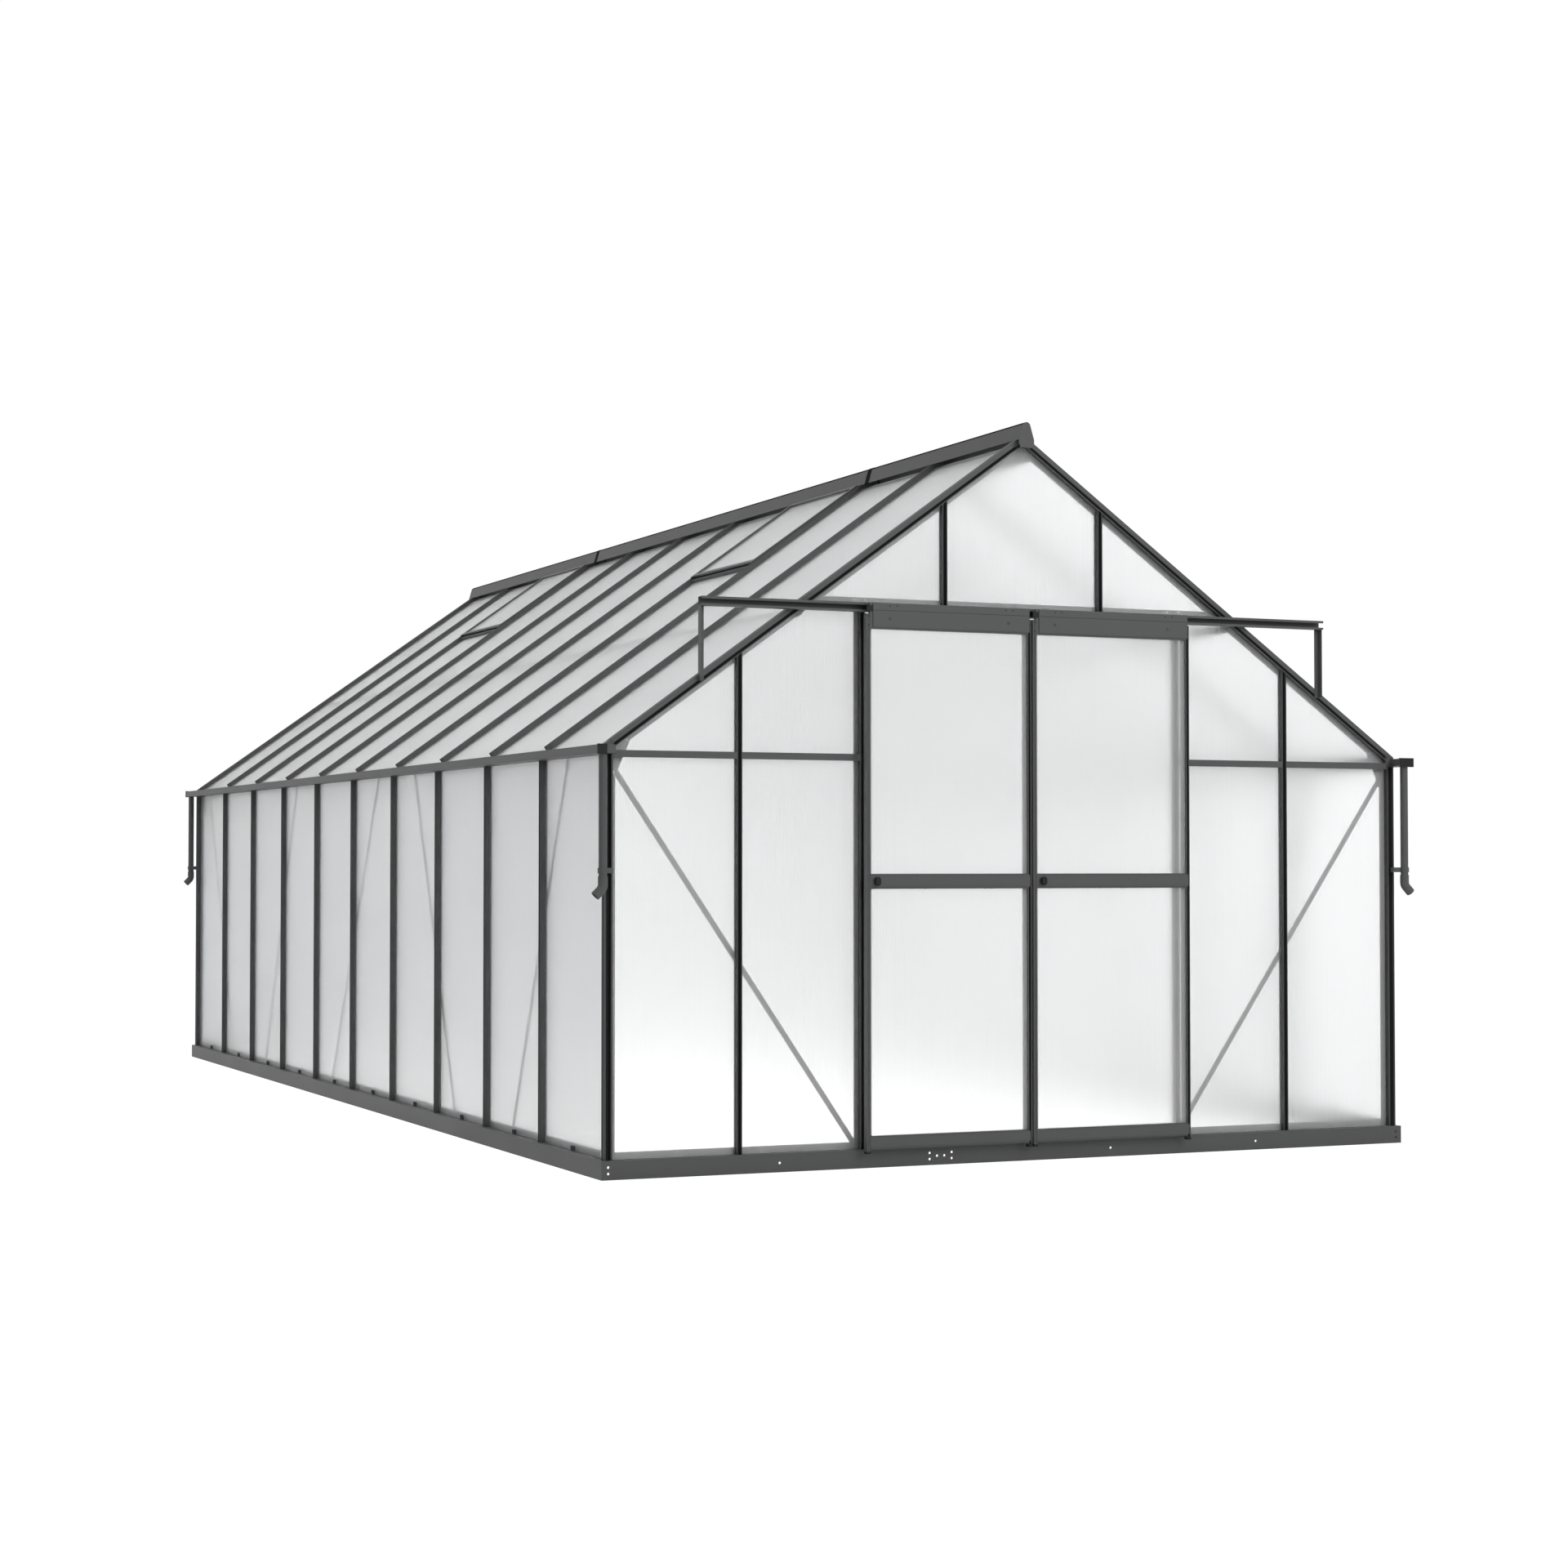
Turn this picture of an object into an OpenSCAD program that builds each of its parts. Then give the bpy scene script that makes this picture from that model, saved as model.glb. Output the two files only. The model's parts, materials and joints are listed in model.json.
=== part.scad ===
// Ridge-roofed greenhouse with twin-wall panels and a pair of sliding doors.
// Millimetres. +Z is up, the doors face -Y, and the origin is on the ground
// under the middle of the whole building.

/* [Walls] */
// Distance between neighbouring side studs
bay = 610; // [450:5:700]
// Number of bays along each side wall (the ridge joints and vents count from the front)
side_bays = 10; // [8:1:12]
// Distance from the last bay line to the outer face of the gable frame
end_allowance = 29.2; // [28:0.2:60]
// Half the width of the building over the outer faces of the side studs
half_w = 1491; // [1380:1:1600]
// Height of the wall tops, where the gutters lie
wall_top = 1334; // [1250:1:1450]

/* [Base] */
// Height of the base channel
base_h = 60; // [40:1:90]
// Depth of the base channel's flanges
base_depth = 64.5; // [50:0.5:90]
// How far the base stands out beyond the frame's outer faces
base_outset = 13.5; // [5:0.5:20]
// Wall thickness of the base channel
base_wall = 2; // [1.5:0.1:4]
// Height of the lip behind the bottom edges of the panels
base_lip = 22; // [15:1:40]
// Radius of the holes in the base's outer wall
base_hole_r = 4; // [2.5:0.1:5]
// Distance of the outer base holes from the middle
anchor_x = 898; // [850:1:1000]
// Distance of the splice in the base from the middle
splice_x = 321; // [280:1:360]
// Distance between neighbouring holes of the splice
splice_step = 27; // [20:1:40]
// Distance of the upper and lower holes from the middle of the base's height
hole_rise = 10; // [6:1:14]
// Distance of the corner holes from the base's outer corner
corner_hole_in = 22.5; // [15:0.5:40]

/* [Roof] */
// Slope of the roof in degrees
pitch = 35.5; // [30:0.5:40]
// Height of the roof bars' outer line over the wall top, at the frame's outer face
roof_lift = 33.4; // [32:0.1:42]
// Gap from the end of the roof bars to the frame's outer face, measured level
bar_setback = 18; // [14:1:30]
// How far the purlins lie below the middle of the lintel, along the slope
purlin_drop = 13.5; // [0:0.5:60]
// Side of the square purlin
purlin_w = 20; // [12:1:30]
// Length of a roof vent along the slope, from the ridge line
vent_len = 548; // [400:1:640]
// Bays that hold a roof vent, counted from the front
vent_bays = [3, 8]; // [1:1:8]
// Gap between a vent's upper edge and the ridge cap, along the slope
vent_head = 2.5; // [1:0.5:20]
// Width of the bars round a vent
vent_bar = 18; // [12:1:26]
// Height of the bars round a vent over the roof bars
vent_bar_h = 5; // [3:0.5:10]
// How far a vent's side bars lie on the roof bars
vent_lap = 8; // [4:0.5:8.5]
// Joint between a vent's side bars and its end bars
vent_joint = 0.3; // [0.1:0.1:1]
// Play of a vent's panel beside the roof bars
vent_play = 2; // [1:0.5:5]
// How far a vent's side bars run on past its lower end bar
vent_nose = 6; // [1:0.5:10]
// Width of the fixed sill below a vent
sill_w = 16; // [10:1:26]
// How far the sill lies below the outer faces of the roof bars
sill_set = 6; // [2:0.5:10]
// Gap between the roof panels and the ridge line, measured level
roof_pane_x = 12; // [8:1:20]
// Gap between the bars of the two slopes and the ridge line
ridge_split = 0.25; // [0.1:0.05:0.5]

/* [Glazing bars] */
// Width of a glazing bar
bar_w = 18; // [14:1:26]
// Height of a glazing bar over the face of the panel
bar_rise = 18; // [12:1:24]
// Thickness of the web between two panels
bar_web = 5; // [3:0.5:8]
// Thickness of the inner flange behind the panels
flange_t = 3.2; // [2:0.1:5]
// Width of the flange that corner bars carry behind a panel
corner_lip = 16; // [10:1:24]
// Width of the bolt slot in the outer face of a bar
slot_w = 12; // [4:0.5:13]
// Depth of the bolt slot in the outer face of a bar
slot_d = 13; // [5:0.5:14]
// Start, end and depth of the sloping groove in a corner post's gable face
post_groove = [5, 22, 13]; // [4:0.5:24]
// Start, end and depth of the sloping groove in a rafter's gable face
rafter_groove = [15, 25, 8]; // [4:0.5:25]
// Width of the bolt slot in the other face of a corner bar
side_slot_w = 7; // [4:0.5:9]
// Depth of the bolt slot in the other face of a corner bar
side_slot_d = 9; // [5:0.5:10]
// Thickness of the gussets, base lip and other plates behind the bars
plate_t = 2.5; // [1.5:0.1:4]

/* [Panels] */
// Thickness of the twin-wall panels
pane_t = 6; // [4:0.5:10]
// Play on each face of a panel in its groove
pane_play = 0.2; // [0.1:0.05:0.4]
// Gap between the edge of a panel and the bar or frame beside it
pane_gap = 1; // [0.3:0.1:1.2]
// Length of the clips at the foot of the side panels
clip_len = 22; // [14:1:40]
// Height of the clips at the foot of the side panels
clip_high = 16; // [10:1:24]
// Depth of the clips at the foot of the side panels
clip_deep = 8; // [5:0.5:14]

/* [Gable] */
// Centre of the outer studs of the front gable
stud_x = 1032; // [900:1:1150]
// Centre of the door posts
door_post_x = 597; // [500:1:650]
// Centre of the studs over the doors
upper_stud_x = 295; // [200:1:350]
// Centres of the studs of the back gable
back_stud_x = [297, 890]; // [250:1:950]
// Height of the face of the rail at eave level
rail_w = 22; // [18:0.5:26]
// Centre height of the rail at eave level
eave_rail_z = 1336; // [1250:1:1340]
// Centre height of the lintel over the doors
lintel_z = 1827; // [1780:1:1860]
// How far the lintel's inner flange reaches above its centre
lintel_reach = 35; // [33:1:45]
// How far the lintel's inner flange reaches below its centre
lintel_down = 10; // [9:0.5:14]
// Radius of the small holes in the lintel's flange and at the eaves
plate_hole_r = 3.5; // [1.5:0.1:4]
// Distance of the small holes over the middle of the lintel
lintel_hole_rise = 28.5; // [20:0.5:28.5]
// Distance of the small holes from the middle of the door post
lintel_hole_x = [-22, 22, 147]; // [-40:1:200]
// Width of the flange that a door post carries behind its panel
post_lip = 12; // [8:1:20]

/* [Braces] */
// Width of the flat diagonal braces
brace_w = 18; // [12:1:28]
// Thickness of the flat diagonal braces
brace_t = 2; // [1.5:0.1:4]
// How far the upper ends of the gable braces lie below the wall tops
brace_drop = 46; // [20:1:60]
// Gap between the lower ends of the braces and the base
brace_foot = 2; // [1:0.5:10]
// Distance of a gable brace's upper end from the frame's outer side face
brace_corner = 41; // [38:1:60]
// Distance of a gable brace's lower end from the middle of the door post
brace_post = 9; // [5:1:20]
// Upper and lower ends of the side braces along the wall, counted in bays from the middle
side_braces = [[-4.35, -3.4], [-1.4, -2.3], [-0.55, 0.65], [1.7, 2.65], [4.7, 3.75]];
// How far an eave gusset reaches below the wall top
gusset_leg = 72; // [66:1:120]
// Distances of an eave gusset's lower and upper inner corners from the outer side face
gusset_in = [49.4, 92.6]; // [46:0.1:120]
// Height of the upright part of an eave gusset's inner edge
gusset_rise = 16.4; // [5:0.2:30]
// How far an eave gusset shows below the rafter's flange
gusset_step = 4; // [1:0.5:20]
// Holes at the eaves: inwards from the outer side face, and over the wall top
eave_hole_at = [[82.5, 47], [41, 18.4], [39.2, -57]];
// Half the width of the apex gusset under the rafters
apex_gusset_half = 70; // [50:1:120]
// Half the width of the apex gusset's lower edge
apex_gusset_foot = 33; // [26:1:48]
// Width of the slot in the apex gusset
apex_slot_w = 9; // [4:0.5:14]
// Distance of the slot from the apex gusset's lower edge and from the rafters' flanges
apex_slot_edge = 3.5; // [2:0.5:6]

/* [Gutter] */
// Width of the trough outside the frame's outer face
gutter_out = 43; // [40:1:70]
// Height of the trough
gutter_h = 27; // [20:1:40]
// Wall thickness of the gutter
gutter_wall = 2.5; // [1.5:0.1:4]
// How far the trough runs on past the outer face of each gable
gutter_end = 57.8; // [55:0.2:90]
// Depth of the eave beam behind the frame's outer face
eave_beam_depth = 51; // [45:1:70]
// Outer radius of the downpipes
pipe_r = 13.5; // [12:0.5:16]
// Wall thickness of the downpipes
pipe_wall = 1.2; // [1:0.1:3]
// Distance of the downpipe's axis from the frame's outer side face
pipe_x_off = 19; // [18:0.5:22]
// Distance of the downpipe's axis from the frame's outer gable face
pipe_y_off = 35.8; // [32:0.2:36]
// Height of the lower end of the straight downpipe
pipe_low = 949; // [700:1:1100]
// Outer radius of the elbow
elbow_r = 15.5; // [14.5:0.5:18]
// Centre-line radius of the elbow's bend
elbow_bend = 26; // [24:1:40]
// Length of the elbow's spout and of its collar
elbow_len = 25; // [20:1:60]
// Height of the clip over the lower end of the straight downpipe
clip_lift = 10; // [5:1:120]
// Height of the clip round a downpipe
clip_h = 17; // [8:1:30]
// Thickness of the clip's band
clip_band = 2.5; // [1.5:0.1:4]
// Play between the clip and the downpipe
clip_play = 0.2; // [0.1:0.1:0.5]
// Reach of the clip's arm behind the frame's outer side face
clip_arm = 16; // [10:1:24]

/* [Ridge] */
// Half the width of the folded ridge beam
ridge_half = 45; // [38:1:60]
// Thickness of the folded ridge beam
ridge_t = 15; // [8:0.5:16]
// Half the width of the cap over the ridge
cap_half = 28; // [24:1:38]
// How far the cap runs on past the outer face of each gable
ridge_over = 20; // [5:1:30]
// Radius of the cap's rounded top
cap_r = 14; // [10:1:18]
// Height of the cap's top over the roof bars' outer line at the ridge
cap_rise = 39; // [30:1:55]
// Wall thickness of the cap
cap_wall = 3; // [2:0.1:5]
// Length of the joiners between the cap's three lengths
joiner_len = 14; // [8:1:80]
// How far a joiner lies inside the cap's outer face
joiner_inset = 1.5; // [0.5:0.1:2]
// Bay lines at which the cap is joined, counted from the front
joint_lines = [1.88, 6.8]; // [1:0.02:8]
// Thickness of the cap's end plates
end_plate_t = 5; // [3:0.5:8]
// How far an end plate reaches down below the cap's feet
end_drop = 27; // [16:1:40]
// Height of an end plate's upright sides below the cap's feet
end_side = 14; // [4:1:15]
// Half the width of an end plate's lower edge
end_foot = 21.5; // [10:0.5:24]

/* [Doors] */
// Half the length of the door track
track_half = 1176; // [1150:1:1300]
// How far the track's lower edge lies below the middle of the lintel
track_drop = 16; // [10:1:30]
// Height of the track's section
track_h = 30; // [30:0.5:50]
// Depth of the track's section
track_depth = 31; // [28:0.5:40]
// Wall thickness of the track
track_wall = 2.5; // [2:0.1:4]
// Height of the rib that the rollers run on
rib_h = 5.5; // [3:0.5:6]
// Width of the rib that the rollers run on
rib_w = 2; // [1.5:0.1:2.5]
// Height of the lip at the track's upper front edge
track_lip = 8; // [5:0.5:8]
// Height of the lip at the track's lower front edge
track_foot = 6.5; // [3:0.5:6.5]
// Gap between the track's front and the doors
track_gap = 5; // [5:0.5:10]
// Width of a door leaf
leaf_w = 607; // [520:1:640]
// Gap between the two closed leaves
leaf_gap = 6; // [5:0.5:12]
// Height of the underside of the stiles
leaf_low = 57; // [45:1:75]
// How far the stiles end below the track's lower edge
stile_drop = 8; // [0:1:20]
// How far the top rails reach up over the track's lower edge
top_rail_rise = 28; // [20:1:40]
// Depth of the stiles and rails
leaf_depth = 20; // [16:1:26]
// Width of a stile
stile_w = 24; // [18:1:36]
// Width of a stile's thick outer part
stile_edge = 13; // [9:1:15]
// Thickness of the plates on the rails' front
rail_plate = 3; // [2:0.5:5]
// Thickness of the walls beside the slot in a leaf's right stile
stile_wall = 2.5; // [1.5:0.5:4]
// Depth of the slot in a leaf's right stile
stile_slot_d = 10; // [5:0.5:12]
// Width of the fine lines in the left stiles and the top rails
line_w = 1.6; // [0.8:0.1:2.5]
// Depth of the fine lines in the left stiles and the top rails
line_d = 1.5; // [0.5:0.1:2]
// Distance of the top rail's fine line from its upper edge
line_drop = 24; // [15:1:40]
// How far the rails' plates stay inside the rails' lower and upper edges
plate_step = [6, 4]; // [0:0.5:10]
// Lower edges of the bottom and middle rails
rail_lows = [64, 907]; // [60:1:1000]
// Heights of the bottom, middle and top rails
rail_h = [43, 49, 86]; // [30:1:95]
// Radius of a roller over its rims
roller_r = 7.5; // [7:0.5:8]
// Radius of a roller at the foot of its groove
roller_groove_r = 6; // [5:0.5:6.5]
// Width of a roller
roller_w = 8; // [6:0.5:10]
// Running gap between a roller and its rib
roller_play = 0.3; // [0.1:0.1:0.5]
// Radius of a roller's axle
axle_r = 2.5; // [2:0.5:3]
// Distance of the rollers from the ends of their leaf
roller_inset = 85; // [60:1:150]
// Half the width of a door knob
knob_r = 10.5; // [8:0.5:14]
// How much taller than wide a knob is
knob_long = 8; // [2:0.5:20]
// How far a knob stands out from its rail
knob_out = 15; // [8:0.5:25]
// Distance of a knob from the left edge of its leaf
knob_x = 35; // [26:1:80]
// Width of the brackets under the track's ends
bracket_w = 18; // [8:1:24]
// Depth of the brackets under the track's ends
bracket_deep = 22; // [12:1:30]
// Wall thickness of the brackets
bracket_t = 3; // [2:0.1:5]
// How far the brackets reach down over the rafters
bracket_lap = 20; // [10:1:40]

/* [Hidden] */
$fn = 48;

frame_grey = [0.33, 0.335, 0.34];
dark_grey = [0.12, 0.12, 0.125];
panel_white = [0.86, 0.87, 0.88, 0.75];
eps = 1;

// Distances across a wall, outwards from the middle of its panels
groove = pane_t / 2 + pane_play;
bar_out = pane_t / 2 + bar_rise;
flange_in = -groove - flange_t;
plate_in = flange_in - plate_t;
post_w = bar_out - flange_in;
bar_edge = bar_web / 2 + pane_gap;
lintel_cap = bar_w / 2;

// Main planes
half_len = side_bays * bay / 2 + end_allowance;
side_mid = half_w - bar_out;
gable_mid = half_len - bar_out;
post_in_x = half_w - post_w;
post_in_y = half_len - post_w;
function bay_line(i) = (i - side_bays / 2) * bay;
stud_lines = [for (i = [1 : side_bays - 1]) bay_line(i)];

// Roof lines: n is the distance over the middle of the roof panels
apex_z = wall_top + roof_lift + half_w * tan(pitch);
function roof_z(x, n) = apex_z - (bar_out - n) / cos(pitch) - abs(x) * tan(pitch);
function slope_at(x, n) = (x - n * sin(pitch)) / cos(pitch);
slope_top = slope_at(0, bar_out) - eps;
slope_end = slope_at(half_w - bar_setback, bar_out);
function roof_x(z, n) = (apex_z - (bar_out - n) / cos(pitch) - z) / tan(pitch);
vent_top = slope_at(cap_half, bar_out) + vent_head;
purlin_at = slope_at(roof_x(lintel_z, flange_in), flange_in) + purlin_drop;
lip_n = flange_in - corner_lip;

// Door leaves: heights, and distances forwards from the middle of the building
track_low = lintel_z - track_drop;
leaf_high = track_low - stile_drop;
rail_z = concat(rail_lows, [track_low + top_rail_rise - rail_h[2]]);
track_front = half_len + track_depth;
leaf_back = track_front + track_gap;
leaf_front = leaf_back + leaf_depth + rail_plate;
roller_y = half_len + track_depth / 2;
rib_top = track_low + track_wall + rib_h;
roller_z = rib_top + roller_groove_r + roller_play;
leaf_lefts = [-leaf_w - leaf_gap / 2, leaf_gap / 2];
knob_z = rail_z[1] + rail_h[1] / 2;

// The knobs reach further forwards than the back gutters reach backwards
front_reach = leaf_front + knob_out;
back_reach = half_len + gutter_end;
y_shift = (front_reach - back_reach) / 2;

pipe_x = half_w + pipe_x_off;
pipe_y = half_len + pipe_y_off;

module placed() translate([0, y_shift, 0]) children();
module both_sides() for (m = [0, 1]) mirror([m, 0, 0]) children();
module both_ends() for (m = [0, 1]) mirror([0, m, 0]) children();
module four_corners() both_sides() both_ends() children();

// Puts a flat shape (x, z) upright in the front gable, between two depths
module in_gable(v0, v1)
    translate([0, -gable_mid - v0, 0]) rotate([90, 0, 0]) linear_extrude(v1 - v0) children();

// Puts what is drawn along X, with Z out of the roof, on the right slope
module on_slope()
    translate([0, 0, roof_z(0, 0)]) rotate([0, pitch, 0]) children();

// The gable's outline up to a roof line
module under_roof(n)
    polygon([[-half_w, 0], [half_w, 0], [half_w, roof_z(half_w, n)], [0, roof_z(0, n)],
             [-half_w, roof_z(half_w, n)]]);

module box2(x0, x1, z0, z1) translate([x0, z0]) square([x1 - x0, z1 - z0]);
module box3(a, b) translate(a) cube(b - a);

// Section of a plain bar: outer bar, web between two panels, inner flange
module plain_section(w) {
    box2(-w / 2, w / 2, groove, bar_out);
    box2(-bar_web / 2, bar_web / 2, -groove, groove);
    box2(-bar_w / 2, bar_w / 2, flange_in, -groove);
}

// Section of a glazing bar: the same, with a bolt slot in its outer face
module bar_section() difference() {
    plain_section(bar_w);
    box2(-slot_w / 2, slot_w / 2, bar_out - slot_d, bar_out + eps);
}

// Section of a corner bar, from its outer corner inwards: square with two flanges, a bolt slot,
// and in the gable's face (Y = 0) a groove that slopes down towards the panel
module corner_section(g) difference() {
    union() {
        square(post_w);
        box2(post_w - flange_t, post_w, post_w, post_w + corner_lip);
        box2(post_w, post_w + corner_lip, post_w - flange_t, post_w);
    }
    box2(-eps, side_slot_d, (post_w - side_slot_w) / 2, (post_w + side_slot_w) / 2);
    polygon([[g[0], -eps], [g[0], 0], [g[1] - g[2] / 4, g[2]], [g[1], g[2]], [g[1], -eps]]);
}

// Base channel along Y on the right side, open inwards, with mitred ends
module base_section() {
    out = half_w + base_outset;
    box2(out - base_wall, out, 0, base_h);
    box2(out - base_depth, out, 0, base_wall);
    box2(post_in_x - plate_t, out, base_h - base_wall, base_h);
    box2(post_in_x - plate_t, post_in_x, base_h - base_wall, base_h + base_lip);
}

module base_run(run) intersection() {
    translate([0, run, 0]) rotate([90, 0, 0]) linear_extrude(2 * run) base_section();
    linear_extrude(base_h + base_lip)
        polygon([[half_w + base_outset, -run], [half_w + base_outset, run],
                 [half_w + base_outset - base_depth, run - base_depth],
                 [half_w + base_outset - base_depth, -run + base_depth]]);
}

module base_side() base_run(half_len + base_outset);

// The same channel along X at the front
module base_end() {
    shift = half_len - half_w;
    translate([0, -shift, 0]) rotate([0, 0, -90]) base_run(half_w + base_outset);
}

// Hole from the front through the base's outer wall
module base_hole(x, z)
    translate([x, -half_len - base_outset + 2 * base_wall, z])
        rotate([90, 0, 0]) cylinder(r = base_hole_r, h = 3 * base_wall);

module base_holes() {
    mid = base_h / 2;
    for (x = [-anchor_x, splice_x, anchor_x]) base_hole(x, mid);
    for (k = [-1.5, 1.5], dz = [-1, 1]) base_hole(-splice_x + k * splice_step, mid + dz * hole_rise);
    for (k = [-0.5, 0.5]) base_hole(-splice_x + k * splice_step, mid);
    for (m = [-1, 1], dz = [-1, 1])
        base_hole(m * (half_w + base_outset - corner_hole_in), mid + dz * hole_rise);
}

// The lip is left out of the doorway
module base_front() color(frame_grey) difference() {
    base_end();
    box3([-door_post_x + bar_w / 2, -half_len, base_h],
         [door_post_x - bar_w / 2, 0, base_h + base_lip + eps]);
    base_holes();
}

module base_back() color(frame_grey) mirror([0, 1, 0]) difference() {
    base_end();
    base_holes();
}

module base_sides() color(frame_grey) both_sides() base_side();

// Small holes where rafter, corner post, gusset and brace are bolted together
module eave_circles()
    for (h = eave_hole_at) translate([half_w - h[0], wall_top + h[1]]) circle(plate_hole_r);

module eave_holes() in_gable(brace_in - eps, -groove + pane_play / 2) eave_circles();

module corner_posts() color(frame_grey) four_corners() difference() {
    translate([half_w, -half_len, base_h]) mirror([1, 0, 0])
        linear_extrude(wall_top - base_h) corner_section(post_groove);
    eave_holes();
}

module right_studs()
    for (y = stud_lines)
        translate([side_mid, y, base_h]) rotate([0, 0, -90])
            linear_extrude(wall_top - base_h) bar_section();

module right_wall_studs() color(frame_grey) right_studs();
module left_wall_studs() color(frame_grey) mirror([1, 0, 0]) right_studs();

// Upright gable bar whose parts end under the rafter, its flange under the rafter's flange
module gable_stud(x, z0, flange_z0) {
    difference() {
        in_gable(groove, bar_out) intersection() {
            box2(x - bar_w / 2, x + bar_w / 2, z0, apex_z);
            under_roof(flange_in);
        }
        in_gable(bar_out - slot_d, bar_out + eps) box2(x - slot_w / 2, x + slot_w / 2, 0, apex_z);
    }
    in_gable(-groove, groove) intersection() {
        box2(x - bar_web / 2, x + bar_web / 2, z0, apex_z);
        under_roof(flange_in);
    }
    in_gable(flange_in, -groove) intersection() {
        box2(x - bar_w / 2, x + bar_w / 2, flange_z0, apex_z);
        under_roof(lip_n);
    }
}

module front_gable_studs() color(frame_grey) both_sides() {
    gable_stud(stud_x, base_h, base_h);
    gable_stud(upper_stud_x, lintel_z + lintel_cap, lintel_z + lintel_reach);
}

module back_gable_studs() color(frame_grey) mirror([0, 1, 0]) both_sides()
    for (x = back_stud_x) gable_stud(x, base_h, base_h);

// Door post: a glazing bar whose door side is closed and whose flange is wider on the panel side
module door_post() {
    inner = door_post_x - bar_w / 2;
    outer = door_post_x + bar_w / 2;
    top = lintel_z - lintel_cap;
    difference() {
        in_gable(groove, bar_out) box2(inner, outer, base_h, top);
        in_gable(bar_out - slot_d, bar_out + eps)
            box2(door_post_x - slot_w / 2, door_post_x + slot_w / 2, 0, apex_z);
    }
    in_gable(-groove, groove) box2(inner, door_post_x + bar_web / 2, base_h, top);
    in_gable(flange_in, -groove) box2(inner, outer + post_lip, base_h, lintel_z - lintel_down);
}

module door_posts() color(frame_grey) both_sides() door_post();

// Level gable bar between two uprights; its flange stops short of their wider flanges
module gable_rail(x0, x1, trim0, trim1) difference() {
    translate([x0, -gable_mid, eave_rail_z]) rotate([180, 0, 0]) rotate([0, 90, 0])
        linear_extrude(x1 - x0) plain_section(rail_w);
    in_gable(flange_in - eps, -groove) {
        box2(x0 - eps, x0 + trim0, 0, apex_z);
        box2(x1 - trim1, x1 + eps, 0, apex_z);
    }
}

module gable_rails() color(frame_grey) {
    edge = bar_w / 2;
    both_sides() {
        gable_rail(stud_x + edge, post_in_x, 0, corner_lip);
        gable_rail(door_post_x + edge, stud_x - edge, post_lip, 0);
    }
    mirror([0, 1, 0]) {
        both_sides() {
            gable_rail(back_stud_x[1] + edge, post_in_x, 0, corner_lip);
            gable_rail(back_stud_x[0] + edge, back_stud_x[1] - edge, 0, 0);
        }
        gable_rail(-back_stud_x[0] + edge, back_stud_x[0] - edge, 0, 0);
    }
}

module door_lintel() color(frame_grey) {
    in_gable(groove, bar_out) intersection() {
        box2(-half_w, half_w, lintel_z - lintel_cap, lintel_z + lintel_cap);
        under_roof(flange_in);
    }
    in_gable(-groove, groove) intersection() {
        box2(-half_w, half_w, lintel_z - bar_web / 2, lintel_z + bar_web / 2);
        under_roof(flange_in);
    }
    in_gable(flange_in, -groove) difference() {
        intersection() {
            box2(-half_w, half_w, lintel_z - lintel_down, lintel_z + lintel_reach);
            under_roof(lip_n);
        }
        for (m = [-1, 1], dx = lintel_hole_x)
            translate([m * (door_post_x + dx), lintel_z + lintel_hole_rise]) circle(plate_hole_r);
    }
}

// Keeps what lies on the right of the ridge line
module right_of_ridge(x) intersection() {
    children();
    box3([x, -2 * half_len, 0], [2 * half_w, 2 * half_len, 2 * apex_z]);
}

module gable_rafters() color(frame_grey) four_corners() difference() {
    right_of_ridge(ridge_split) on_slope()
        translate([slope_top - post_w, -half_len, bar_out]) rotate([0, 90, 0])
            linear_extrude(slope_end - slope_top + post_w) corner_section(rafter_groove);
    eave_holes();
}

module right_bars()
    for (y = stud_lines) right_of_ridge(ridge_split)
        on_slope() translate([slope_top, y, 0]) rotate([90, 0, 90])
            linear_extrude(slope_end - slope_top) bar_section();

module right_roof_bars() color(frame_grey) right_bars();
module left_roof_bars() color(frame_grey) mirror([1, 0, 0]) right_bars();

inner_half = gable_mid + plate_in;

// Runs a section (x, z) along Y between the gables' plates
module along_ridge(y0, y1)
    translate([0, y1, 0]) rotate([90, 0, 0]) linear_extrude(y1 - y0) children();

// Ridge beam: folded like the roof, under the bars of both slopes
module ridge_beam() color(frame_grey) along_ridge(-inner_half, inner_half)
    polygon([[-ridge_half, roof_z(ridge_half, flange_in - ridge_t)],
             [0, roof_z(0, flange_in - ridge_t)],
             [ridge_half, roof_z(ridge_half, flange_in - ridge_t)],
             [ridge_half, roof_z(ridge_half, flange_in)],
             [0, roof_z(0, flange_in)],
             [-ridge_half, roof_z(ridge_half, flange_in)]]);

// Outline of the ridge cap, a given distance inside its outer face
module cap_outline(inset, drop) {
    r = cap_r - inset;
    top = apex_z + cap_rise - cap_r;
    side = cap_half - inset;
    foot = roof_z(cap_half, bar_out);
    lean = atan2(top - foot, side) - acos(r / norm([side, top - foot]));
    polygon(concat(
        [[-side, foot - drop], [side, foot - drop], [side, foot]],
        [for (k = [0 : 12]) let (t = (90 + lean) * (1 - k / 6)) [r * sin(t), top + r * cos(t)]],
        [[-side, foot]]));
}

module ridge_caps() color(frame_grey) {
    gaps = [for (i = joint_lines) bay_line(i)];
    starts = concat([-half_len - ridge_over], [for (g = gaps) g + joiner_len / 2]);
    stops = concat([for (g = gaps) g - joiner_len / 2], [half_len + ridge_over]);
    for (i = [0 : len(starts) - 1]) along_ridge(starts[i], stops[i]) cap_arch(0);
}

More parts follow.
